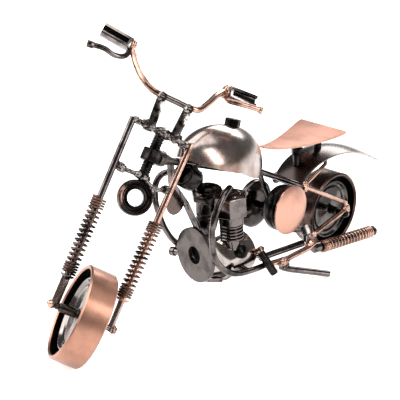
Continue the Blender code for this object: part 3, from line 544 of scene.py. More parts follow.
def wheel(prefix, radius, width, place, body, axle, ring_metal, ring_slot, hubs):
    """A bearing ring with a dished shield on each side."""
    wall = sizes().ring_wall
    half = width / 2
    inner = radius - wall
    steps = sizes().wheel_steps
    section = [
        (inner, half - 0.6), (inner + 0.5, half), (radius - 0.6, half), (radius, half - 0.6),
        (radius, -half + 0.6), (radius - 0.6, -half), (inner + 0.5, -half),
        (inner, -half + 0.6), (inner, half - 0.6),
    ]
    ring = turned(section, toward=axle, steps=steps, bore=True)
    # The ring's bore is painted near-black as painted shade.
    finished([ring], f"{prefix}_tyre_ring", place, body, ring_slot, ring_metal,
             second=(painted_shade_black(), lambda at: math.hypot(at.y, at.z) < inner + 0.2))
    for side, name in ((1, "left"), (-1, "right")):
        hub = hubs[name]
        section = [
            (1.25, hub), (1.6, hub), (1.8, hub - 0.3), (1.9, width * 0.25),
            (3.2, width * 0.21), (inner * 0.62, width * 0.19), (inner * 0.66, width * 0.24),
            (inner * 0.70, width * 0.19), (inner * 0.76, width * 0.20),
            (inner * 0.80, width * 0.30), (inner * 0.84, width * 0.30),
            (inner * 0.86, width * 0.14), (inner - 0.06, width * 0.13), (inner - 0.06, 0.2),
            (1.25, 0.2), (1.25, hub),
        ]
        shield = turned(section, toward=Vector(axle) * side, steps=64, bore=True, edge=0.08)
        # The shields' outer annulus and their groove are painted near-black as painted shade in
        # the recesses.
        finished([shield], f"{prefix}_disc_{name}", place, body, "grey_steel",
                 shield_steel(prefix, 0.35 if prefix == "front" else 0.6),
                 second=(painted_shade_black(), lambda at: math.hypot(at.y, at.z) > inner * 0.85
                         or inner * 0.64 < math.hypot(at.y, at.z) < inner * 0.69))


class CHOPPER_OT_wheels(bpy.types.Operator):
    """Turn both wheel rings and their shields"""

    bl_idname = "chopper.wheels"
    bl_label = "Wheels"

    def execute(self, context):
        front = brushed_copper("front_tread", colours().tread_copper, ACROSS_FORK)
        rear = plated("rubbed_dark_copper_rear_tread", "#66504A", "#2B2220",
                      (12.0, 0.4), (0.24, 0.36), brush=((1, 0, 0), 0.4, 0.7))
        wheel("front", sizes().front_radius, 11.6, FORK, "front_wheel", (1, 0, 0), front,
              "copper_plate", {"left": 9.6, "right": 10.3})
        wheel("rear", sizes().rear_radius, 11.3, REAR, "rear_wheel", (1, 0, 0), rear,
              "dark_copper_plate", {"left": 7.2, "right": 7.2})
        return {"FINISHED"}


# ---------------------------------------------------------------- fork


LEG_TOP = 79.6


def leg_across(height):
    """How far a leg is from the steering axis at a height up the fork."""
    return 12.0 + 0.9 * height / LEG_TOP


class CHOPPER_OT_fork(bpy.types.Operator):
    """Make the fork legs, the axle and the threaded steering stud"""

    bl_idname = "chopper.fork"
    bl_label = "Fork"

    def execute(self, context):
        foot = plated("rubbed_nickel_foot", "#A3928B", "#5A4C47", (8.0, 0.25),
                      (0.2, 0.3))
        for side, name in ((1, "left"), (-1, "right")):
            low = side * leg_across(11.7)
            shapes = [
                rod([(side * leg_across(11), 0, 11), (side * 12.9, 0, LEG_TOP + 0.6)], 1.4),
                turned([(0, 0), (2.0, 0), (2.9, 0.6), (2.9, 1.1), (0, 1.1)], (low, 0, 11.7),
                       steps=24, edge=0.1),
            ]
            if side < 0:
                shapes.append(bar((-12.3, 0, -1.4), (-12.3, 0, 12.0), 3.4, 1.6, (1, 0, 0)))
            else:
                shapes.append(rod([(12.3, 0, -1.2), (12.1, 0, 12)], 1.3))
            metal = antique_copper() if side > 0 else black_nickel()
            on_fork(shapes, f"fork_leg_{name}",
                    "copper_plate" if side > 0 else "black_nickel", metal,
                    second=(foot, lambda at: at.z < 11.4))
        axle = turned([(0, -15.8), (0.5, -15.4), (1.5, -13.8), (1.15, -13.2), (1.15, 12.6),
                       (1.7, 13.4), (1.3, 14.7), (0, 15.0)], toward=(1, 0, 0), steps=32)
        beads = [((-13.4, 0, 0), (1.7, 1.5, 1.9)), ((13.2, 0, 0), (1.6, 1.5, 1.8))]
        bead = welded([axle], beads, 0.2)
        on_fork([bead], "front_axle", "black_nickel", weld_nickel(),
                second=(antique_copper(), lambda at: abs(at.x) > 12.4))
        core = turned([(0, 60.6), (2.0, 60.6), (2.0, 77.6), (0, 77.6)], steps=32)
        on_fork([core, thread(61.0, 77.4, 1.98, 1.15, sides=2)], "steering_stud",
                "black_steel", dark_nickel())
        return {"FINISHED"}


class CHOPPER_OT_springs(bpy.types.Operator):
    """Wind the two fork springs and the exhaust spring"""

    bl_idname = "chopper.springs"
    bl_label = "Springs"

    def execute(self, context):
        turns = sizes().spring_turns
        for side, name in ((1, "left"), (-1, "right")):
            wound = coil(33.2, sizes().spring_radius, sizes().spring_wire, turns,
                         (side * leg_across(12.9), 0, 12.9), (side * 0.9 / LEG_TOP, 0, 1))
            on_fork([wound], f"fork_spring_{name}", "dark_copper_plate",
                    dark_copper(), angle=80)
        wound = coil(34.4, 2.36, 0.48, turns, (14.72, 135.0, 9.32), (3.8, 36.4, -2.5))
        on_frame([wound], "muffler_spring", "copper_plate", antique_copper(), angle=80)
        return {"FINISHED"}


class CHOPPER_OT_clamps(bpy.types.Operator):
    """Weld up the two fork clamps, the bar risers and the lamp ring"""

    bl_idname = "chopper.clamps"
    bl_label = "Clamps and lamp"

    def execute(self, context):
        shapes = [
            rod([(-12.6, 0, 79.8), (-8, 0, 79.6), (-5, 0, 79.2), (0, 0, 79.3), (5, 0, 79.6),
                 (9, 0, 79.2), (12.6, 0, 78.6)], 1.1, True),
            rod([(7.5, 0, 79.6), (10.6, 0, 77.4), (12.0, 0, 74.2)], 0.9, True),
        ]
        beads = [((-6.0, 0, 79.6), (3.4, 2.1, 2.4)), ((0.6, 0, 79.2), (3.9, 2.4, 2.5)),
                 ((6.0, 0, 79.8), (3.0, 2.2, 2.6)), ((-11.0, 0, 79.6), (2.4, 1.6, 1.5)),
                 ((10.2, 0, 78.4), (2.6, 1.8, 1.7))]
        yoke = welded(shapes, beads, 0.22)
        risers = []
        for side in (-1, 1):
            risers.append(bar((side * 5.2, -0.8, 79.4), (side * 5.9, -1.3, 91.0), 3.5, 2.2,
                              (1, 0, 0)))
            risers.append(turned([(0.9, -1.3), (1.7, -1.5), (2.1, -1.0), (2.1, 1.0),
                                  (1.7, 1.5), (0.9, 1.3), (0.9, -1.3)],
                                 (side * 5.95, -1.4, 92.2), (0, 1, 0), 32, bore=True))
        on_fork([yoke] + risers, "upper_clamp", "black_nickel", weld_nickel())
        shapes = [
            rod([(-11.9, 0, 59.2), (-6.5, 0, 59.9), (-0.5, 0, 59.9), (5.8, 0, 57.8),
                 (12.1, 0, 59.0)], 0.95, True),
            rod([(3.2, 0, 59.0), (7.2, 0, 54.2)], 0.8),
        ]
        beads = [((-0.2, 0, 60.1), (3.8, 2.4, 1.8)), ((-9.6, 0, 59.9), (2.4, 1.7, 2.0)),
                 ((10.6, -0.3, 59.2), (2.2, 1.7, 1.7)), ((-11.6, 0, 60.4), (1.3, 1.3, 1.8)),
                 ((5.2, 0, 56.6), (1.7, 1.3, 1.5))]
        on_fork([welded(shapes, beads, 0.2)], "lower_clamp", "black_nickel", weld_nickel())
        ring = turned([(3.4, -1.0), (3.4, 1.2), (3.8, 1.7), (4.4, 1.6), (4.6, 1.1), (5.0, 1.2),
                       (5.6, 1.9), (6.3, 2.0), (7.0, 1.5), (7.3, 0.6), (7.3, -0.8),
                       (6.6, -1.8), (5.0, -1.9), (4.2, -1.4), (3.4, -1.0)],
                      (0.5, 0, 51.2), (0, -1, 0), 72, bore=True)
        # The lamp ring is painted dark with its edge on one side in the light copper tone: a
        # painted highlight made by a ramp across the fork. Its small patches are patina.
        on_fork([ring], "headlight", "dark_copper_plate",
                plated("copper_lamp_ring_painted_lit_side", "#A58274", "#1F1A19",
                       (4.0, 0.4), (0.20, 0.34), grain=0.9, bump=0.6,
                       painted_light_side=(-ACROSS_FORK, FORK @ Vector((0, 0, 0.0512)), 3.6, 7.0)))
        return {"FINISHED"}


BAR_PATH = [
    (-21.7, 15.3, 108.4), (-20.8, 12.4, 105.6), (-18.4, 6.6, 100.2), (-14.0, 0.8, 95.0),
    (-9.9, -1.1, 93.0), (-6.0, -1.4, 92.8), (0, -1.4, 92.8), (6.0, -1.4, 92.9),
    (9.8, -1.0, 93.7), (13.2, 2.4, 97.6), (16.9, 7.8, 103.6), (20.0, 12.6, 107.0),
    (21.7, 15.3, 108.4),
]
LEVERS = {
    "right": [(-22.2, 13.6, 105.8), (-24.0, 10.6, 102.4), (-28.5, 9.0, 100.8),
              (-32.8, 8.8, 101.4), (-38.6, 8.8, 100.6)],
    "left": [(22.4, 13.2, 105.4), (23.2, 10.2, 104.4), (26.5, 9.0, 104.8),
             (31.0, 8.8, 105.6), (36.6, 8.8, 106.4)],
}


class CHOPPER_OT_handlebar(bpy.types.Operator):
    """Bend the handlebar and make its slotted grips and its levers"""

    bl_idname = "chopper.handlebar"
    bl_label = "Handlebar"

    def execute(self, context):
        bent = rod(BAR_PATH, sizes().bar_radius, True)
        beads = [((side * 21.9, 15.0, 108.2), (2.1, 2.2, 3.1)) for side in (-1, 1)]
        on_fork([welded([bent], beads, 0.22)], "handlebar", "copper_plate",
                antique_copper(), second=(black_nickel(), lambda at: abs(at.x) < 6.5))
        for side, name in ((1, "left"), (-1, "right")):
            start = Vector((side * 22.6, 14.6, 108.3))
            end = Vector((side * 35.4, 16.4, 109.6))
            along = (end - start).normalized()
            up = Vector((0, 0.25, 1)).normalized()
            front = along.cross(up).normalized()
            if front.y > 0:
                front = -front
            grip = bar(start, end, 5.0, 4.4, up, 0.35)
            slot = bar(start + along * 1.6 + front * 2.0, end + along * 2 + front * 2.0, 2.4,
                       3.4, up, 0.1)


            def in_slot(at):
                offset = at - start
                deep = offset.dot(front)
                return 0.1 < deep < 2.1 and abs(offset.dot(up)) < 1.35

            # The inside of the slot is painted near-black as painted shade.
            on_fork([cut(grip, slot)], f"grip_{name}", "black_steel",
                    plated("dark_nickel_grip", "#8A817E", "#4A4341", (7.0, 0.3),
                           (0.16, 0.26)),
                    second=(painted_shade_black(), in_slot))
            lever = [rod(LEVERS[name], 1.15, True)]
            if side < 0:
                lever.append(hexagon(1.6, -1.4, 1.4, (-38.8, 8.8, 100.5), (-1, 0, -0.12), 0.2,
                                     0.25))
                on_fork(lever, "lever_right", "black_nickel", black_nickel())
            else:
                lever.append(turned([(0, -0.7), (1.5, -0.7), (1.6, 0), (1.5, 0.7), (0, 0.7)],
                                    (36.8, 8.8, 106.4), (1, 0, 0.14), 24, edge=0.12))
                on_fork(lever, "lever_left", "copper_plate", antique_copper())
        return {"FINISHED"}


# ---------------------------------------------------------------- frame


class CHOPPER_OT_steering_head(bpy.types.Operator):
    """Make the steering nut, the bolt welded behind it and the open neck ring"""

    bl_idname = "chopper.steering_head"
    bl_label = "Steering head"

    def execute(self, context):
        nut = hexagon(4.4, 66.4, 71.6, spin=math.pi / 6, edge=0.45)
        hole = turned([(2.43, 64), (2.43, 74)], steps=48)
        finished([cut(nut, hole)], "steering_nut", HEAD, "frame", "black_steel", dark_nickel())
        bolt = turned([(0, 0), (3.3, 0), (3.3, 3.4), (2.4, 3.9), (2.2, 6.4), (1.6, 8.2),
                       (1.4, 13.6), (0, 13.6)], (0, 43.6, 74.4), (0, 0.93, -0.42), 40,
                      edge=0.2)
        on_frame([bolt], "steering_nut_bolt", "grey_steel", grey_steel())
        at, toward = Vector((0.2, 64.5, 58.9)), (0, -0.8, 0.6)
        ring = turned([(0, 2.0), (3.8, 2.0), (3.8, 6.6), (4.0, 7.0), (4.6, 7.0), (5.1, 6.5),
                       (5.1, 0.1), (4.4, -0.6), (0, -0.6)], at, toward, 48, edge=0.15)
        on_frame([ring, thread(2.4, 6.8, 3.75, 0.9, at, toward)], "neck_ring",
                 "black_steel", dark_nickel())
        return {"FINISHED"}


class CHOPPER_OT_frame(bpy.types.Operator):
    """Weld up the backbone, the rails, the down tube, the stays and the rear axle"""

    bl_idname = "chopper.frame"
    bl_label = "Frame"

    def execute(self, context):
        spine = rod([(0, 55.5, 69.4), (0, 66, 65.4), (0, 86, 57.6), (0, 104, 51.4),
                     (0, 109.5, 49.2)], 1.5, True)
        lug = rod([(0, 66.4, 65.2), (0.2, 66.6, 60.0)], 1.6)
        on_frame([welded([spine, lug], [((0, 109.6, 49.2), (2.3, 1.8, 1.6)),
                                        ((0, 66.0, 64.6), (2.0, 1.8, 1.2))])],
                 "frame_backbone", "black_nickel", black_nickel())
        tube = [bar((0, 51.9, 69.6), (0, 52.4, 60.4), 2.6, 1.8, (1, 0, 0)),
                bar((0, 52.0, 61.4), (0, 61.2, 49.2), 2.6, 1.8, (1, 0, 0)),
                bar((0, 60.8, 49.8), (0, 68.4, 35.6), 2.6, 1.8, (1, 0, 0))]
        on_frame(tube, "down_tube", "black_nickel", black_nickel())
        for side, name in ((1, "left"), (-1, "right")):
            rods = [
                rod([(side * 7.9, 131.0, 37.9), (side * 10.6, 158.6, 22.6),
                     (side * 10.9, 158.9, 18.2)], 1.2),
                rod([(side * 10.9, 158.6, 19.2), (side * 11.4, 134.2, 15.0)], 1.2),
                rod([(side * 7.6, 131.4, 38.4), (side * 6.4, 148.2, 43.2),
                     (side * 5.6, 149.6, 45.8)], 0.95),
            ]
            beads = [((side * 8.0, 131.0, 38.0), (1.9, 2.0, 2.7)),
                     ((side * 10.9, 158.6, 19.4), (1.7, 2.2, 2.6)),
                     ((side * 11.4, 134.0, 14.9), (1.6, 2.0, 1.8))]
            metal = antique_copper() if side > 0 else black_nickel()
            on_frame([welded(rods, beads)], f"rear_stay_{name}",
                     "copper_plate" if side > 0 else "black_nickel", metal)
            rail = rod([(side * 0.6, 108.2, 49.9), (side * 2.4, 110.4, 48.8),
                        (side * 7.8, 130.6, 38.2)], 1.25)
            on_frame([rail], f"frame_rail_{name}", "black_nickel", black_nickel())
        axle = turned([(0, -13.4), (1.2, -13.0), (1.9, -11.6), (1.7, -10.0), (1.15, -9.4),
                       (1.15, 9.4), (1.7, 10.0), (1.9, 11.6), (1.2, 13.0), (0, 13.4)],
                      toward=(1, 0, 0), steps=32, edge=0.1)
        finished([axle], "rear_axle", REAR, "frame", "dark_copper_plate", dark_copper())
        return {"FINISHED"}


# ---------------------------------------------------------------- engine


def engine_bolt(foot, top, section, head):
    """A stout bolt standing as a cylinder; head is (radius, low, high, spin)."""
    foot = Vector(foot)
    toward = (Vector(top) - foot).normalized()
    radius, low, high, spin = head
    return [turned(section, foot, toward, 48, edge=0.12),
            hexagon(radius, low, high, foot, toward, spin, 0.5)], foot, toward


class CHOPPER_OT_engine(bpy.types.Operator):
    """Make the crankcase, its front plate and the bolts that stand as cylinders"""

    bl_idname = "chopper.engine"
    bl_label = "Engine"

    def execute(self, context):
        plate = turned([(3.8, -0.9), (3.9, 1.0), (11.7, 1.0), (11.95, 0.75),
                        (11.95, -0.75), (11.7, -1.0), (3.9, -1.0), (3.8, -0.9)],
                       (0, 67.4, 24.0), (-0.176, -0.984, 0), 96, bore=True)
        on_frame([plate], "front_plate", "grey_steel", grey_steel())
        case = [
            turned([(0, 0), (8.8, 0), (9.5, 0.7), (9.5, 15.6), (8.9, 16.4), (0, 16.4)],
                   (0, 80.4, 17.0), (0, 1, 0), 72),
            rod([(-11.7, 88.0, 15.2), (11.5, 88.0, 12.9)], 1.3),
            rod([(4.0, 95.0, 16.0), (9.6, 99.6, 15.2)], 1.2),
        ]
        on_frame(case, "crankcase", "black_nickel",
                 plated("polished_black_nickel", colours().mirror_nickel, "#5A504D",
                        (16.0, 0.3), (0.07, 0.13), bump=0.08))
        at, toward = (8.0, 86.8, 21.2), (0.885, 0, 0.465)
        dome = turned([(0, 0), (2.6, 0), (3.1, 0.6), (3.1, 1.4), (2.5, 2.3), (1.3, 2.9),
                       (0, 3.0)], at, toward, 40)
        on_frame([dome], "crankcase_bolt", "black_steel", dark_nickel())
        washer = turned([(0, -0.6), (4.9, -0.6), (5.2, -0.3), (5.2, 0.3), (4.9, 0.6),
                         (0, 0.6)], (-1.9, 56.9, 50.4), (1, 0, 0), 48)
        on_frame([washer], "down_tube_washer", "grey_steel",
                 plated("smoked_steel_washer", "#5C4E49", "#2A2321", (6.0, 0.4),
                        (0.16, 0.26)))
        bars = [bar((3.4, 68.6, 13.4), (3.4, 81.6, 11.4), 2.6, 2.4, (1, 0, 0)),
                bar((4.6, 69.6, 13.0), (6.6, 76.4, 11.4), 2.0, 2.0, (1, 0, 0))]
        on_frame(bars, "crankcase_bar", "black_nickel", black_nickel())
        self.cylinders()
        self.plate_bolt()
        return {"FINISHED"}

    def cylinders(self):
        section = [
            (0, 0), (3.0, 0), (3.0, 9.0), (3.9, 10.4), (4.9, 15.0), (4.9, 16.4), (4.5, 16.8),
            (4.9, 17.2), (4.9, 18.2), (4.5, 18.6), (5.2, 19.4), (5.2, 24.4), (6.3, 25.4),
            (6.6, 28.6), (6.0, 29.6), (4.8, 29.6), (4.6, 27.4), (3.6, 27.0), (3.3, 25.4),
            (0, 25.4),
        ]
        shapes, foot, toward = engine_bolt((-6.2, 82.0, 19.6), (-4.4, 79.8, 50.0), section,
                                           (7.6, 25.4, 28.6, 0.2))
        shapes.append(thread(25.6, 29.4, 4.55, 0.9, foot, toward))
        on_frame(shapes, "cylinder_right", "black_steel",
                 plated("smoked_nickel_cylinder", "#504947", "#1A1716",
                        (8.0, 0.45), (0.12, 0.22)))
        section = [
            (0, 0), (3.4, 0), (3.4, 4.2), (4.3, 4.6), (4.3, 11.0), (5.2, 11.8), (5.2, 15.6),
            (5.6, 16.6), (5.5, 20.0), (4.8, 25.0), (3.8, 25.8), (0, 26.0),
        ]
        shapes, foot, toward = engine_bolt((5.2, 85.2, 22.8), (4.2, 84.0, 50.0), section,
                                           (7.8, 15.8, 24.8, 0.35))
        for k in range(5):
            low = 4.8 + 1.45 * k
            shapes.append(turned([(3.8, low), (4.9, low), (5.1, low + 0.25), (5.1, low + 0.6),
                                  (4.9, low + 0.85), (3.8, low + 0.85)], foot, toward, 48))
        on_frame(shapes, "cylinder_left", "black_nickel", black_nickel())
        at, toward = Vector((-6.0, 76.6, 51.4)), (0.1, -0.5, 0.9)
        plug = [hexagon(2.9, 3.0, 6.6, at, toward, 0.3, 0.3),
                turned([(0, 0), (1.6, 0), (1.6, 3.2), (0, 3.2)], at, toward, 24, edge=0.15),
                rod([(-5.6, 78.6, 46.2), (-6.0, 76.4, 52.2)], 1.3)]
        on_frame(plug, "spark_bolt", "black_steel", dark_nickel())

    def plate_bolt(self):
        shapes = [
            turned([(0, 0), (1.3, 0), (1.3, 5.4), (2.0, 5.4), (2.0, 7.6), (1.7, 8.0),
                    (0, 8.0)], (-8.0, 69.6, 21.9), (-0.98, -0.05, -0.18), 32, edge=0.15),
            rod([(-3.4, 70.4, 23.0), (-9.6, 70.0, 21.8)], 1.3),
            turned([(0, 0), (4.4, 0), (4.6, 0.3), (4.6, 2.6), (0, 2.8)], (0.2, 68.7, 24.0),
                   (0.176, 0.984, 0), 32, edge=0.15),
            rod([(-9.0, 69.8, 21.8), (-13.2, 69.6, 24.0)], 0.9),
        ]
        # The backing disc behind the plate's hole is painted near-black as the shade seen through
        # the hole.
        backing = Vector((0.2, 69.0, 24.0))
        on_frame(shapes, "front_plate_bolt", "black_nickel", black_nickel(),
                 second=(painted_shade_black(), lambda at: (at - backing).length < 5.4))


# ---------------------------------------------------------------- pipes, peg and stand


HEADERS = {
    "left": [(8.6, 79.6, 52.2), (11.0, 75.4, 54.4), (12.4, 68.4, 50.6), (12.6, 64.0, 43.8),
             (12.6, 63.2, 35.6), (12.6, 64.6, 27.8), (12.6, 68.8, 21.6), (12.6, 75.0, 16.8),
             (12.4, 81.8, 14.2), (12.2, 89.0, 12.9), (12.0, 101.0, 11.8)],
    "right": [(-8.6, 71.0, 55.4), (-10.8, 64.0, 59.6), (-12.2, 58.0, 58.4),
              (-12.4, 56.0, 50.5), (-12.4, 58.4, 41.6), (-12.9, 63.2, 32.6),
              (-13.3, 69.6, 25.2), (-12.9, 77.5, 19.8), (-12.4, 88.0, 15.6),
              (-11.6, 101.0, 14.4)],
}


class CHOPPER_OT_pipes(bpy.types.Operator):
    """Bend the pipes and make the exhaust, the foot peg and the prop stand"""

    bl_idname = "chopper.pipes"
    bl_label = "Pipes, peg and stand"

    def execute(self, context):
        for name, path in HEADERS.items():
            on_frame([rod(path, 1.35, True, 7)], f"header_{name}",
                     "black_nickel", black_nickel())
        on_frame([rod([(9.4, 99.0, 14.6), (12.0, 125.4, 13.6)], 1.5, steps=7)],
                 "exhaust_pipe", "black_nickel", black_nickel())
        lower = rod([(12.4, 102.4, 11.6), (14.2, 111.5, 11.4), (14.2, 126.4, 11.4),
                     (14.2, 131.6, 12.4)], 1.3)
        beads = [((13.4, 128.6, 12.7), (2.0, 2.4, 2.1)), ((14.2, 109.0, 10.8), (2.0, 3.7, 2.0))]
        on_frame([welded([lower], beads, 0.22)], "exhaust_rod", "copper_plate",
                 antique_copper())
        peg = [
            turned([(0, 0), (1.8, 0.2), (2.5, 1.0), (2.5, 1.8), (1.8, 2.4), (1.8, 13.2),
                    (1.5, 13.8), (0, 13.8)], (9.8, 96.4, 20.4), (0.52, 0.24, -0.82), 32),
            rod([(11.0, 97.4, 18.4), (8.6, 98.8, 15.6)], 0.9),
            rod([(14.0, 98.4, 13.4), (12.6, 104.0, 10.9)], 0.9),
        ]
        head = Vector((9.8, 96.4, 20.4))
        on_frame(peg, "footpeg_left", "dark_copper_plate", antique_copper(),
                 second=(dark_nickel(), lambda at: (at - head).length > 5.5))
        stand = rod([(14.0, 109.0, 8.0), (15.4, 112.0, 6.6), (24.8, 128.6, 1.42)], 1.4)
        on_frame([welded([stand], [((14.4, 109.6, 8.6), (2.0, 3.0, 1.6))], 0.22)],
                 "kickstand", "black_nickel", black_nickel())
        core = [
            rod([(14.2, 130.2, 10.2), (14.6, 134.0, 9.4), (18.4, 170.4, 6.9)], 1.5),
            turned([(0, 0), (2.0, 0), (2.5, 0.6), (2.5, 3.4), (1.9, 3.9), (0, 3.9)],
                   (14.2, 130.4, 10.4), (0.1, 0.99, -0.13), 32),
            turned([(0, 0), (2.0, 0), (2.3, 0.5), (2.0, 1.1), (0, 1.1)], (18.4, 170.2, 6.9),
                   (0.1, 0.99, -0.07), 32),
        ]
        on_frame(core, "muffler_rod", "black_nickel", black_nickel())
        return {"FINISHED"}


class CHOPPER_OT_drums(bpy.types.Operator):
    """Turn the two side drums, the copper cap, their shaft and their leg"""

    bl_idname = "chopper.drums"
    bl_label = "Side drums"

    def execute(self, context):
        deep = [(0, 0), (7.6, 0), (9.5, 0.7), (10.2, 2.2), (10.2, 4.9), (9.9, 5.1), (9.9, 5.4),
                (10.2, 5.6), (10.2, 7.4), (9.4, 7.58), (9.2, 7.0), (0, 7.0)]
        wide = [(0, 0), (3.2, 0), (8.6, 0.6), (10.8, 2.0), (11.0, 4.4), (10.2, 4.6), (9.9, 4.0),
                (0, 4.0)]
        on_frame([turned(deep, (3.5, 116.4, 32.2), (1, 0, 0), 64, edge=0.12)], "drum_left",
                 "black_steel", dark_nickel())
        on_frame([turned(wide, (-6.6, 118.0, 29.2), (-1, 0, 0), 64, edge=0.12)],
                 "drum_right", "black_nickel",
                 plated("smoked_nickel_drum", "#494341", "#191615", (9.0, 0.4),
                        (0.10, 0.2)))
        cap = turned([(0, 0), (10.3, 0), (10.9, 0.4), (10.9, 1.0), (9.6, 1.5), (8.0, 1.9),
                      (4.0, 2.4), (0, 2.5)], (11.14, 116.4, 32.2), (1, 0, 0), 72)
        middle = ROOT @ (Vector((13.6, 116.4, 32.2)) * MM)
        on_frame([cap], "drum_cap_left", "copper_plate",
                 brushed_copper("drum_cap", colours().seat_copper, (1, 0, 0), tuple(middle), 0.5))
        on_frame([rod([(-6.4, 118.0, 29.2), (3.8, 116.6, 31.8)], 1.6)], "drum_shaft",
                 "black_steel", dark_nickel())
        leg = [
            rod([(0.8, 115.4, 34.0), (1.6, 118.2, 23.6), (7.0, 123.4, 19.2),
                 (11.0, 129.0, 18.5)], 1.2),
            hexagon(3.0, -1.8, 1.8, (11.0, 129.0, 18.5), (0.8, -0.4, 0.4), 0, 0.35),
            rod([(11.0, 128.6, 18.0), (12.1, 127.4, 13.6)], 1.2),
            rod([(0.8, 115.4, 34.0), (0, 109.6, 47.6)], 1.1),
        ]
        on_frame(leg, "drum_leg", "black_nickel", black_nickel())
        return {"FINISHED"}


# ---------------------------------------------------------------- tank, seat and fender


class CHOPPER_OT_tank(bpy.types.Operator):
    """Raise the domed tank shell and its hexagon cap"""

    bl_idname = "chopper.tank"
    bl_label = "Tank"

    half_length: FloatProperty(
        name="Half length", description="Half of the tank's length in mm", default=25.0)
    half_width: FloatProperty(
        name="Half width", description="Half of the tank's width in mm", default=14.2)
    tall: FloatProperty(
        name="Height", description="Height of the dome in mm", default=15.8)

    def execute(self, context):
        bpy.ops.object.select_all(action="DESELECT")
        bpy.ops.mesh.primitive_uv_sphere_add(segments=72, ring_count=36, radius=1)
        tank = bpy.context.object
        bpy.ops.object.mode_set(mode="EDIT")
        bpy.ops.mesh.select_all(action="SELECT")
        bpy.ops.mesh.bisect(plane_co=(0, 0, 0.0001), plane_no=(0, 0, 1), clear_inner=True)
        bpy.ops.object.mode_set(mode="OBJECT")
        for vertex in tank.data.vertices:
            x, y, z = vertex.co
            turn = math.atan2(y, x)
            lift = math.asin(min(1.0, max(0.0, z)))
            front = max(0.0, -math.sin(turn))
            rear = max(0.0, math.sin(turn))
            low = 1 - lift / (math.pi / 2)
            across = self.half_width * math.cos(turn) * (1 - 0.26 * front ** 2)
            along = self.half_length * math.sin(turn) * math.cos(lift) ** 0.85
            rise = self.tall * math.sin(lift) * (1 + 0.06 * along / self.half_length)
            sag = (2.0 + 6.0 * rear) * math.cos(turn) ** 2 * low ** 2
            vertex.co = (across * math.cos(lift), along, rise - sag)
        shaped(tank, "SOLIDIFY", thickness=0.9, offset=-1)
        shaped(tank, "BEVEL", width=0.25, segments=2, limit_method="ANGLE",
               angle_limit=math.radians(50))
        tilt = Matrix.Translation((0, 81.8, 61.9)) @ Matrix.Rotation(
            math.radians(-19), 4, "X")
        moved(tank, tilt)
        # The tank's dark patches are partly patina and partly a painted reflection: their
        # copper-brown tone stands in for copper reflected in the polished nickel.
        on_frame([tank], "tank", "black_nickel",
                 plated("polished_nickel_tank", colours().mirror_nickel, "#7E6155",
                        (20.0, 0.35), (0.18, 0.25), bump=0.03))
        at, toward = (0, 90.3, 75.2), (0, 0.3, 0.95)
        cap = [hexagon(3.5, 0.2, 3.3, at, toward, 0.3, 0.4),
               turned([(0, -2.2), (1.9, -2.2), (1.9, 0.6), (0, 0.6)], at, toward, 24)]
        on_frame(cap, "tank_cap", "black_steel", dark_nickel())
        return {"FINISHED"}


def bent_sheet(rows, thick, columns=8):
    """Sheet metal: rows of (y, height, half width, crown) from front to back."""
    bpy.ops.object.select_all(action="DESELECT")
    bpy.ops.mesh.primitive_grid_add(x_subdivisions=columns, y_subdivisions=len(rows) - 1,
                                    size=2)
    sheet = bpy.context.object
    for vertex in sheet.data.vertices:
        u = vertex.co.x
        row = rows[round((vertex.co.y + 1) / 2 * (len(rows) - 1))]
        y, height, half, crown = row
        vertex.co = (half * u, y, height - crown * u * u)
    shaped(sheet, "SUBSURF", levels=2, render_levels=2, boundary_smooth="PRESERVE_CORNERS")
    shaped(sheet, "SOLIDIFY", thickness=thick, offset=0)
    shaped(sheet, "BEVEL", width=thick * 0.3, segments=2, limit_method="ANGLE",
           angle_limit=math.radians(50))
    return sheet


class CHOPPER_OT_seat(bpy.types.Operator):
    """Bend the seat and the fender, and make the posts between them"""

    bl_idname = "chopper.seat"
    bl_label = "Seat and fender"

    def execute(self, context):
        seat = bent_sheet(
            [(110.6, 60.4, 1.2, 0), (114.0, 59.2, 2.6, 0), (119.0, 58.2, 4.2, 0.1),
             (126.0, 57.6, 6.0, 0.3), (134.0, 57.4, 8.2, 0.5), (142.0, 57.5, 10.4, 0.5),
             (149.0, 57.8, 12.2, 0.3), (153.2, 58.1, 13.0, 0.1), (154.8, 58.2, 12.6, 0)],
            1.0)
        on_frame([seat], "seat", "copper_plate",
                 brushed_copper("seat", colours().seat_copper, (1, 0, 0),
                                rough=(0.46, 0.6)), angle=40)
        fender = bent_sheet(
            [(128.6, 39.2, 7.6, 1.2), (133.0, 43.8, 8.0, 1.6), (140.0, 47.4, 8.2, 1.9),
             (148.0, 48.6, 8.4, 2.0), (156.0, 48.4, 8.5, 2.0), (164.0, 47.0, 8.5, 1.9),
             (172.0, 44.2, 8.0, 1.6), (180.0, 40.2, 6.8, 1.2), (188.0, 35.6, 4.8, 0.8),
             (194.6, 31.6, 2.8, 0.4), (199.4, 28.8, 1.2, 0.1)],
            0.8)
        # The fender is painted darker towards its front, where it runs under the seat: painted
        # shade made by a ramp along Y. Its patches are patina.
        on_frame([fender], "rear_fender", "black_nickel",
                 plated("polished_nickel_fender", colours().mirror_nickel, "#37312F",
                        (24.0, 0.2), (0.22, 0.3), bump=0.05,
                        painted_light_side=((0, 1, 0), (0, 0, 0), 50.0, 100.0)), angle=40)
        for name, y, foot, top in (("front", 135.4, 45.2, 56.9), ("rear", 150.6, 48.2, 57.4)):
            tall = top - foot
            post = [turned([(0, 0), (1.7, 0), (1.7, tall), (0, tall)], (0, y, foot), steps=32),
                    hexagon(2.7, 5.0, 8.2, (0, y, foot), edge=0.3)]
            on_frame(post, f"seat_post_{name}", "black_steel", dark_nickel())
        return {"FINISHED"}


# ---------------------------------------------------------------- stage


# The camera stands ahead and to the rider's left, a little above the model.
AIM = (23.7, -41.9, 59.6)
AZIMUTH = 41.18
ELEVATION = 22.13
DISTANCE = 0.6295
LENS = 142.74


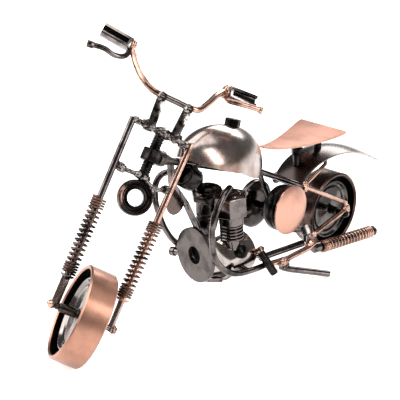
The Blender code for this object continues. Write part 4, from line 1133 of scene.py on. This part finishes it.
def softbox(name, at, target, width, height, power, tint=(1, 1, 1)):
    """A large area light that faces a point."""
    bpy.ops.object.light_add(type="AREA", location=at)
    light = bpy.context.object
    light.name = name
    light.data.shape = "RECTANGLE"
    light.data.size = width
    light.data.size_y = height
    light.data.energy = power
    light.data.color = tint
    light.rotation_euler = (Vector(at) - Vector(target)).to_track_quat("Z", "Y").to_euler()


class CHOPPER_OT_stage(bpy.types.Operator):
    """Set the pale floor, the soft lights and the camera"""

    bl_idname = "chopper.stage"
    bl_label = "Stage"

    def execute(self, context):
        bpy.ops.object.select_all(action="DESELECT")
        bpy.ops.mesh.primitive_plane_add(size=12, location=(0, 0, -0.00005))
        floor = context.object
        floor.name = "floor"
        paper = bpy.data.materials.new("white_paper_sweep")
        paper.use_nodes = True
        shader = paper.node_tree.nodes["Principled BSDF"]
        shader.inputs["Base Color"].default_value = colour(stage_settings().floor_colour)
        shader.inputs["Roughness"].default_value = 0.9
        shader.inputs["Specular IOR Level"].default_value = 0.1
        shader.inputs["Emission Color"].default_value = (1, 1, 1, 1)
        shader.inputs["Emission Strength"].default_value = 0.62
        floor.data.materials.append(paper)

        target = Vector(AIM) * MM
        power = stage_settings()
        softbox("key_light", (-0.60, -0.55, 0.85), target, 1.0, 1.0, power.key_power)
        softbox("top_light", (0.05, 0.10, 1.05), target, 1.2, 0.9, power.top_power)
        softbox("side_light", (0.95, 0.05, 0.45), target, 0.25, 0.7, power.side_power)
        softbox("rim_light", (-0.25, 0.95, 0.55), target, 0.7, 0.4, power.rim_power)
        world = bpy.data.worlds.new("studio")
        world.use_nodes = True
        sky = world.node_tree.nodes["Background"]
        sky.inputs["Color"].default_value = (0.17, 0.165, 0.165, 1)
        sky.inputs["Strength"].default_value = 1.0
        context.scene.world = world
        context.scene.view_settings.view_transform = "Standard"

        azimuth, elevation = math.radians(AZIMUTH), math.radians(ELEVATION)
        back = Vector((math.sin(azimuth) * math.cos(elevation),
                       -math.cos(azimuth) * math.cos(elevation), math.sin(elevation)))
        bpy.ops.object.camera_add(location=target + back * DISTANCE,
                                  rotation=(math.pi / 2 - elevation, 0, azimuth))
        camera = context.object
        camera.data.lens = LENS
        camera.data.sensor_width = 36
        camera.data.clip_start = 0.01
        context.scene.camera = camera
        return {"FINISHED"}


class CHOPPER_PT_panel(bpy.types.Panel):
    """The pieces of the model, in the order they are made"""

    bl_label = "Chopper desk model"
    bl_space_type = "VIEW_3D"
    bl_region_type = "UI"
    bl_category = "Chopper"

    def draw(self, context):
        for operator in OPERATORS:
            self.layout.operator(operator.bl_idname)


OPERATORS = (
    CHOPPER_OT_stage, CHOPPER_OT_wheels, CHOPPER_OT_fork, CHOPPER_OT_springs,
    CHOPPER_OT_clamps, CHOPPER_OT_handlebar, CHOPPER_OT_steering_head, CHOPPER_OT_frame,
    CHOPPER_OT_engine, CHOPPER_OT_pipes, CHOPPER_OT_drums, CHOPPER_OT_tank, CHOPPER_OT_seat,
)
CLASSES = (ChopperSizes, ChopperColours, ChopperStage, CHOPPER_PT_panel) + OPERATORS


def register():
    for each in CLASSES:
        bpy.utils.register_class(each)
    bpy.types.Scene.chopper_sizes = PointerProperty(type=ChopperSizes)
    bpy.types.Scene.chopper_colours = PointerProperty(type=ChopperColours)
    bpy.types.Scene.chopper_stage = PointerProperty(type=ChopperStage)


def unregister():
    del bpy.types.Scene.chopper_stage
    del bpy.types.Scene.chopper_colours
    del bpy.types.Scene.chopper_sizes
    for each in reversed(CLASSES):
        bpy.utils.unregister_class(each)


def main():
    register()
    for operator in OPERATORS:
        getattr(bpy.ops.chopper, operator.bl_idname.split(".")[1])()


if __name__ == "__main__":
    main()
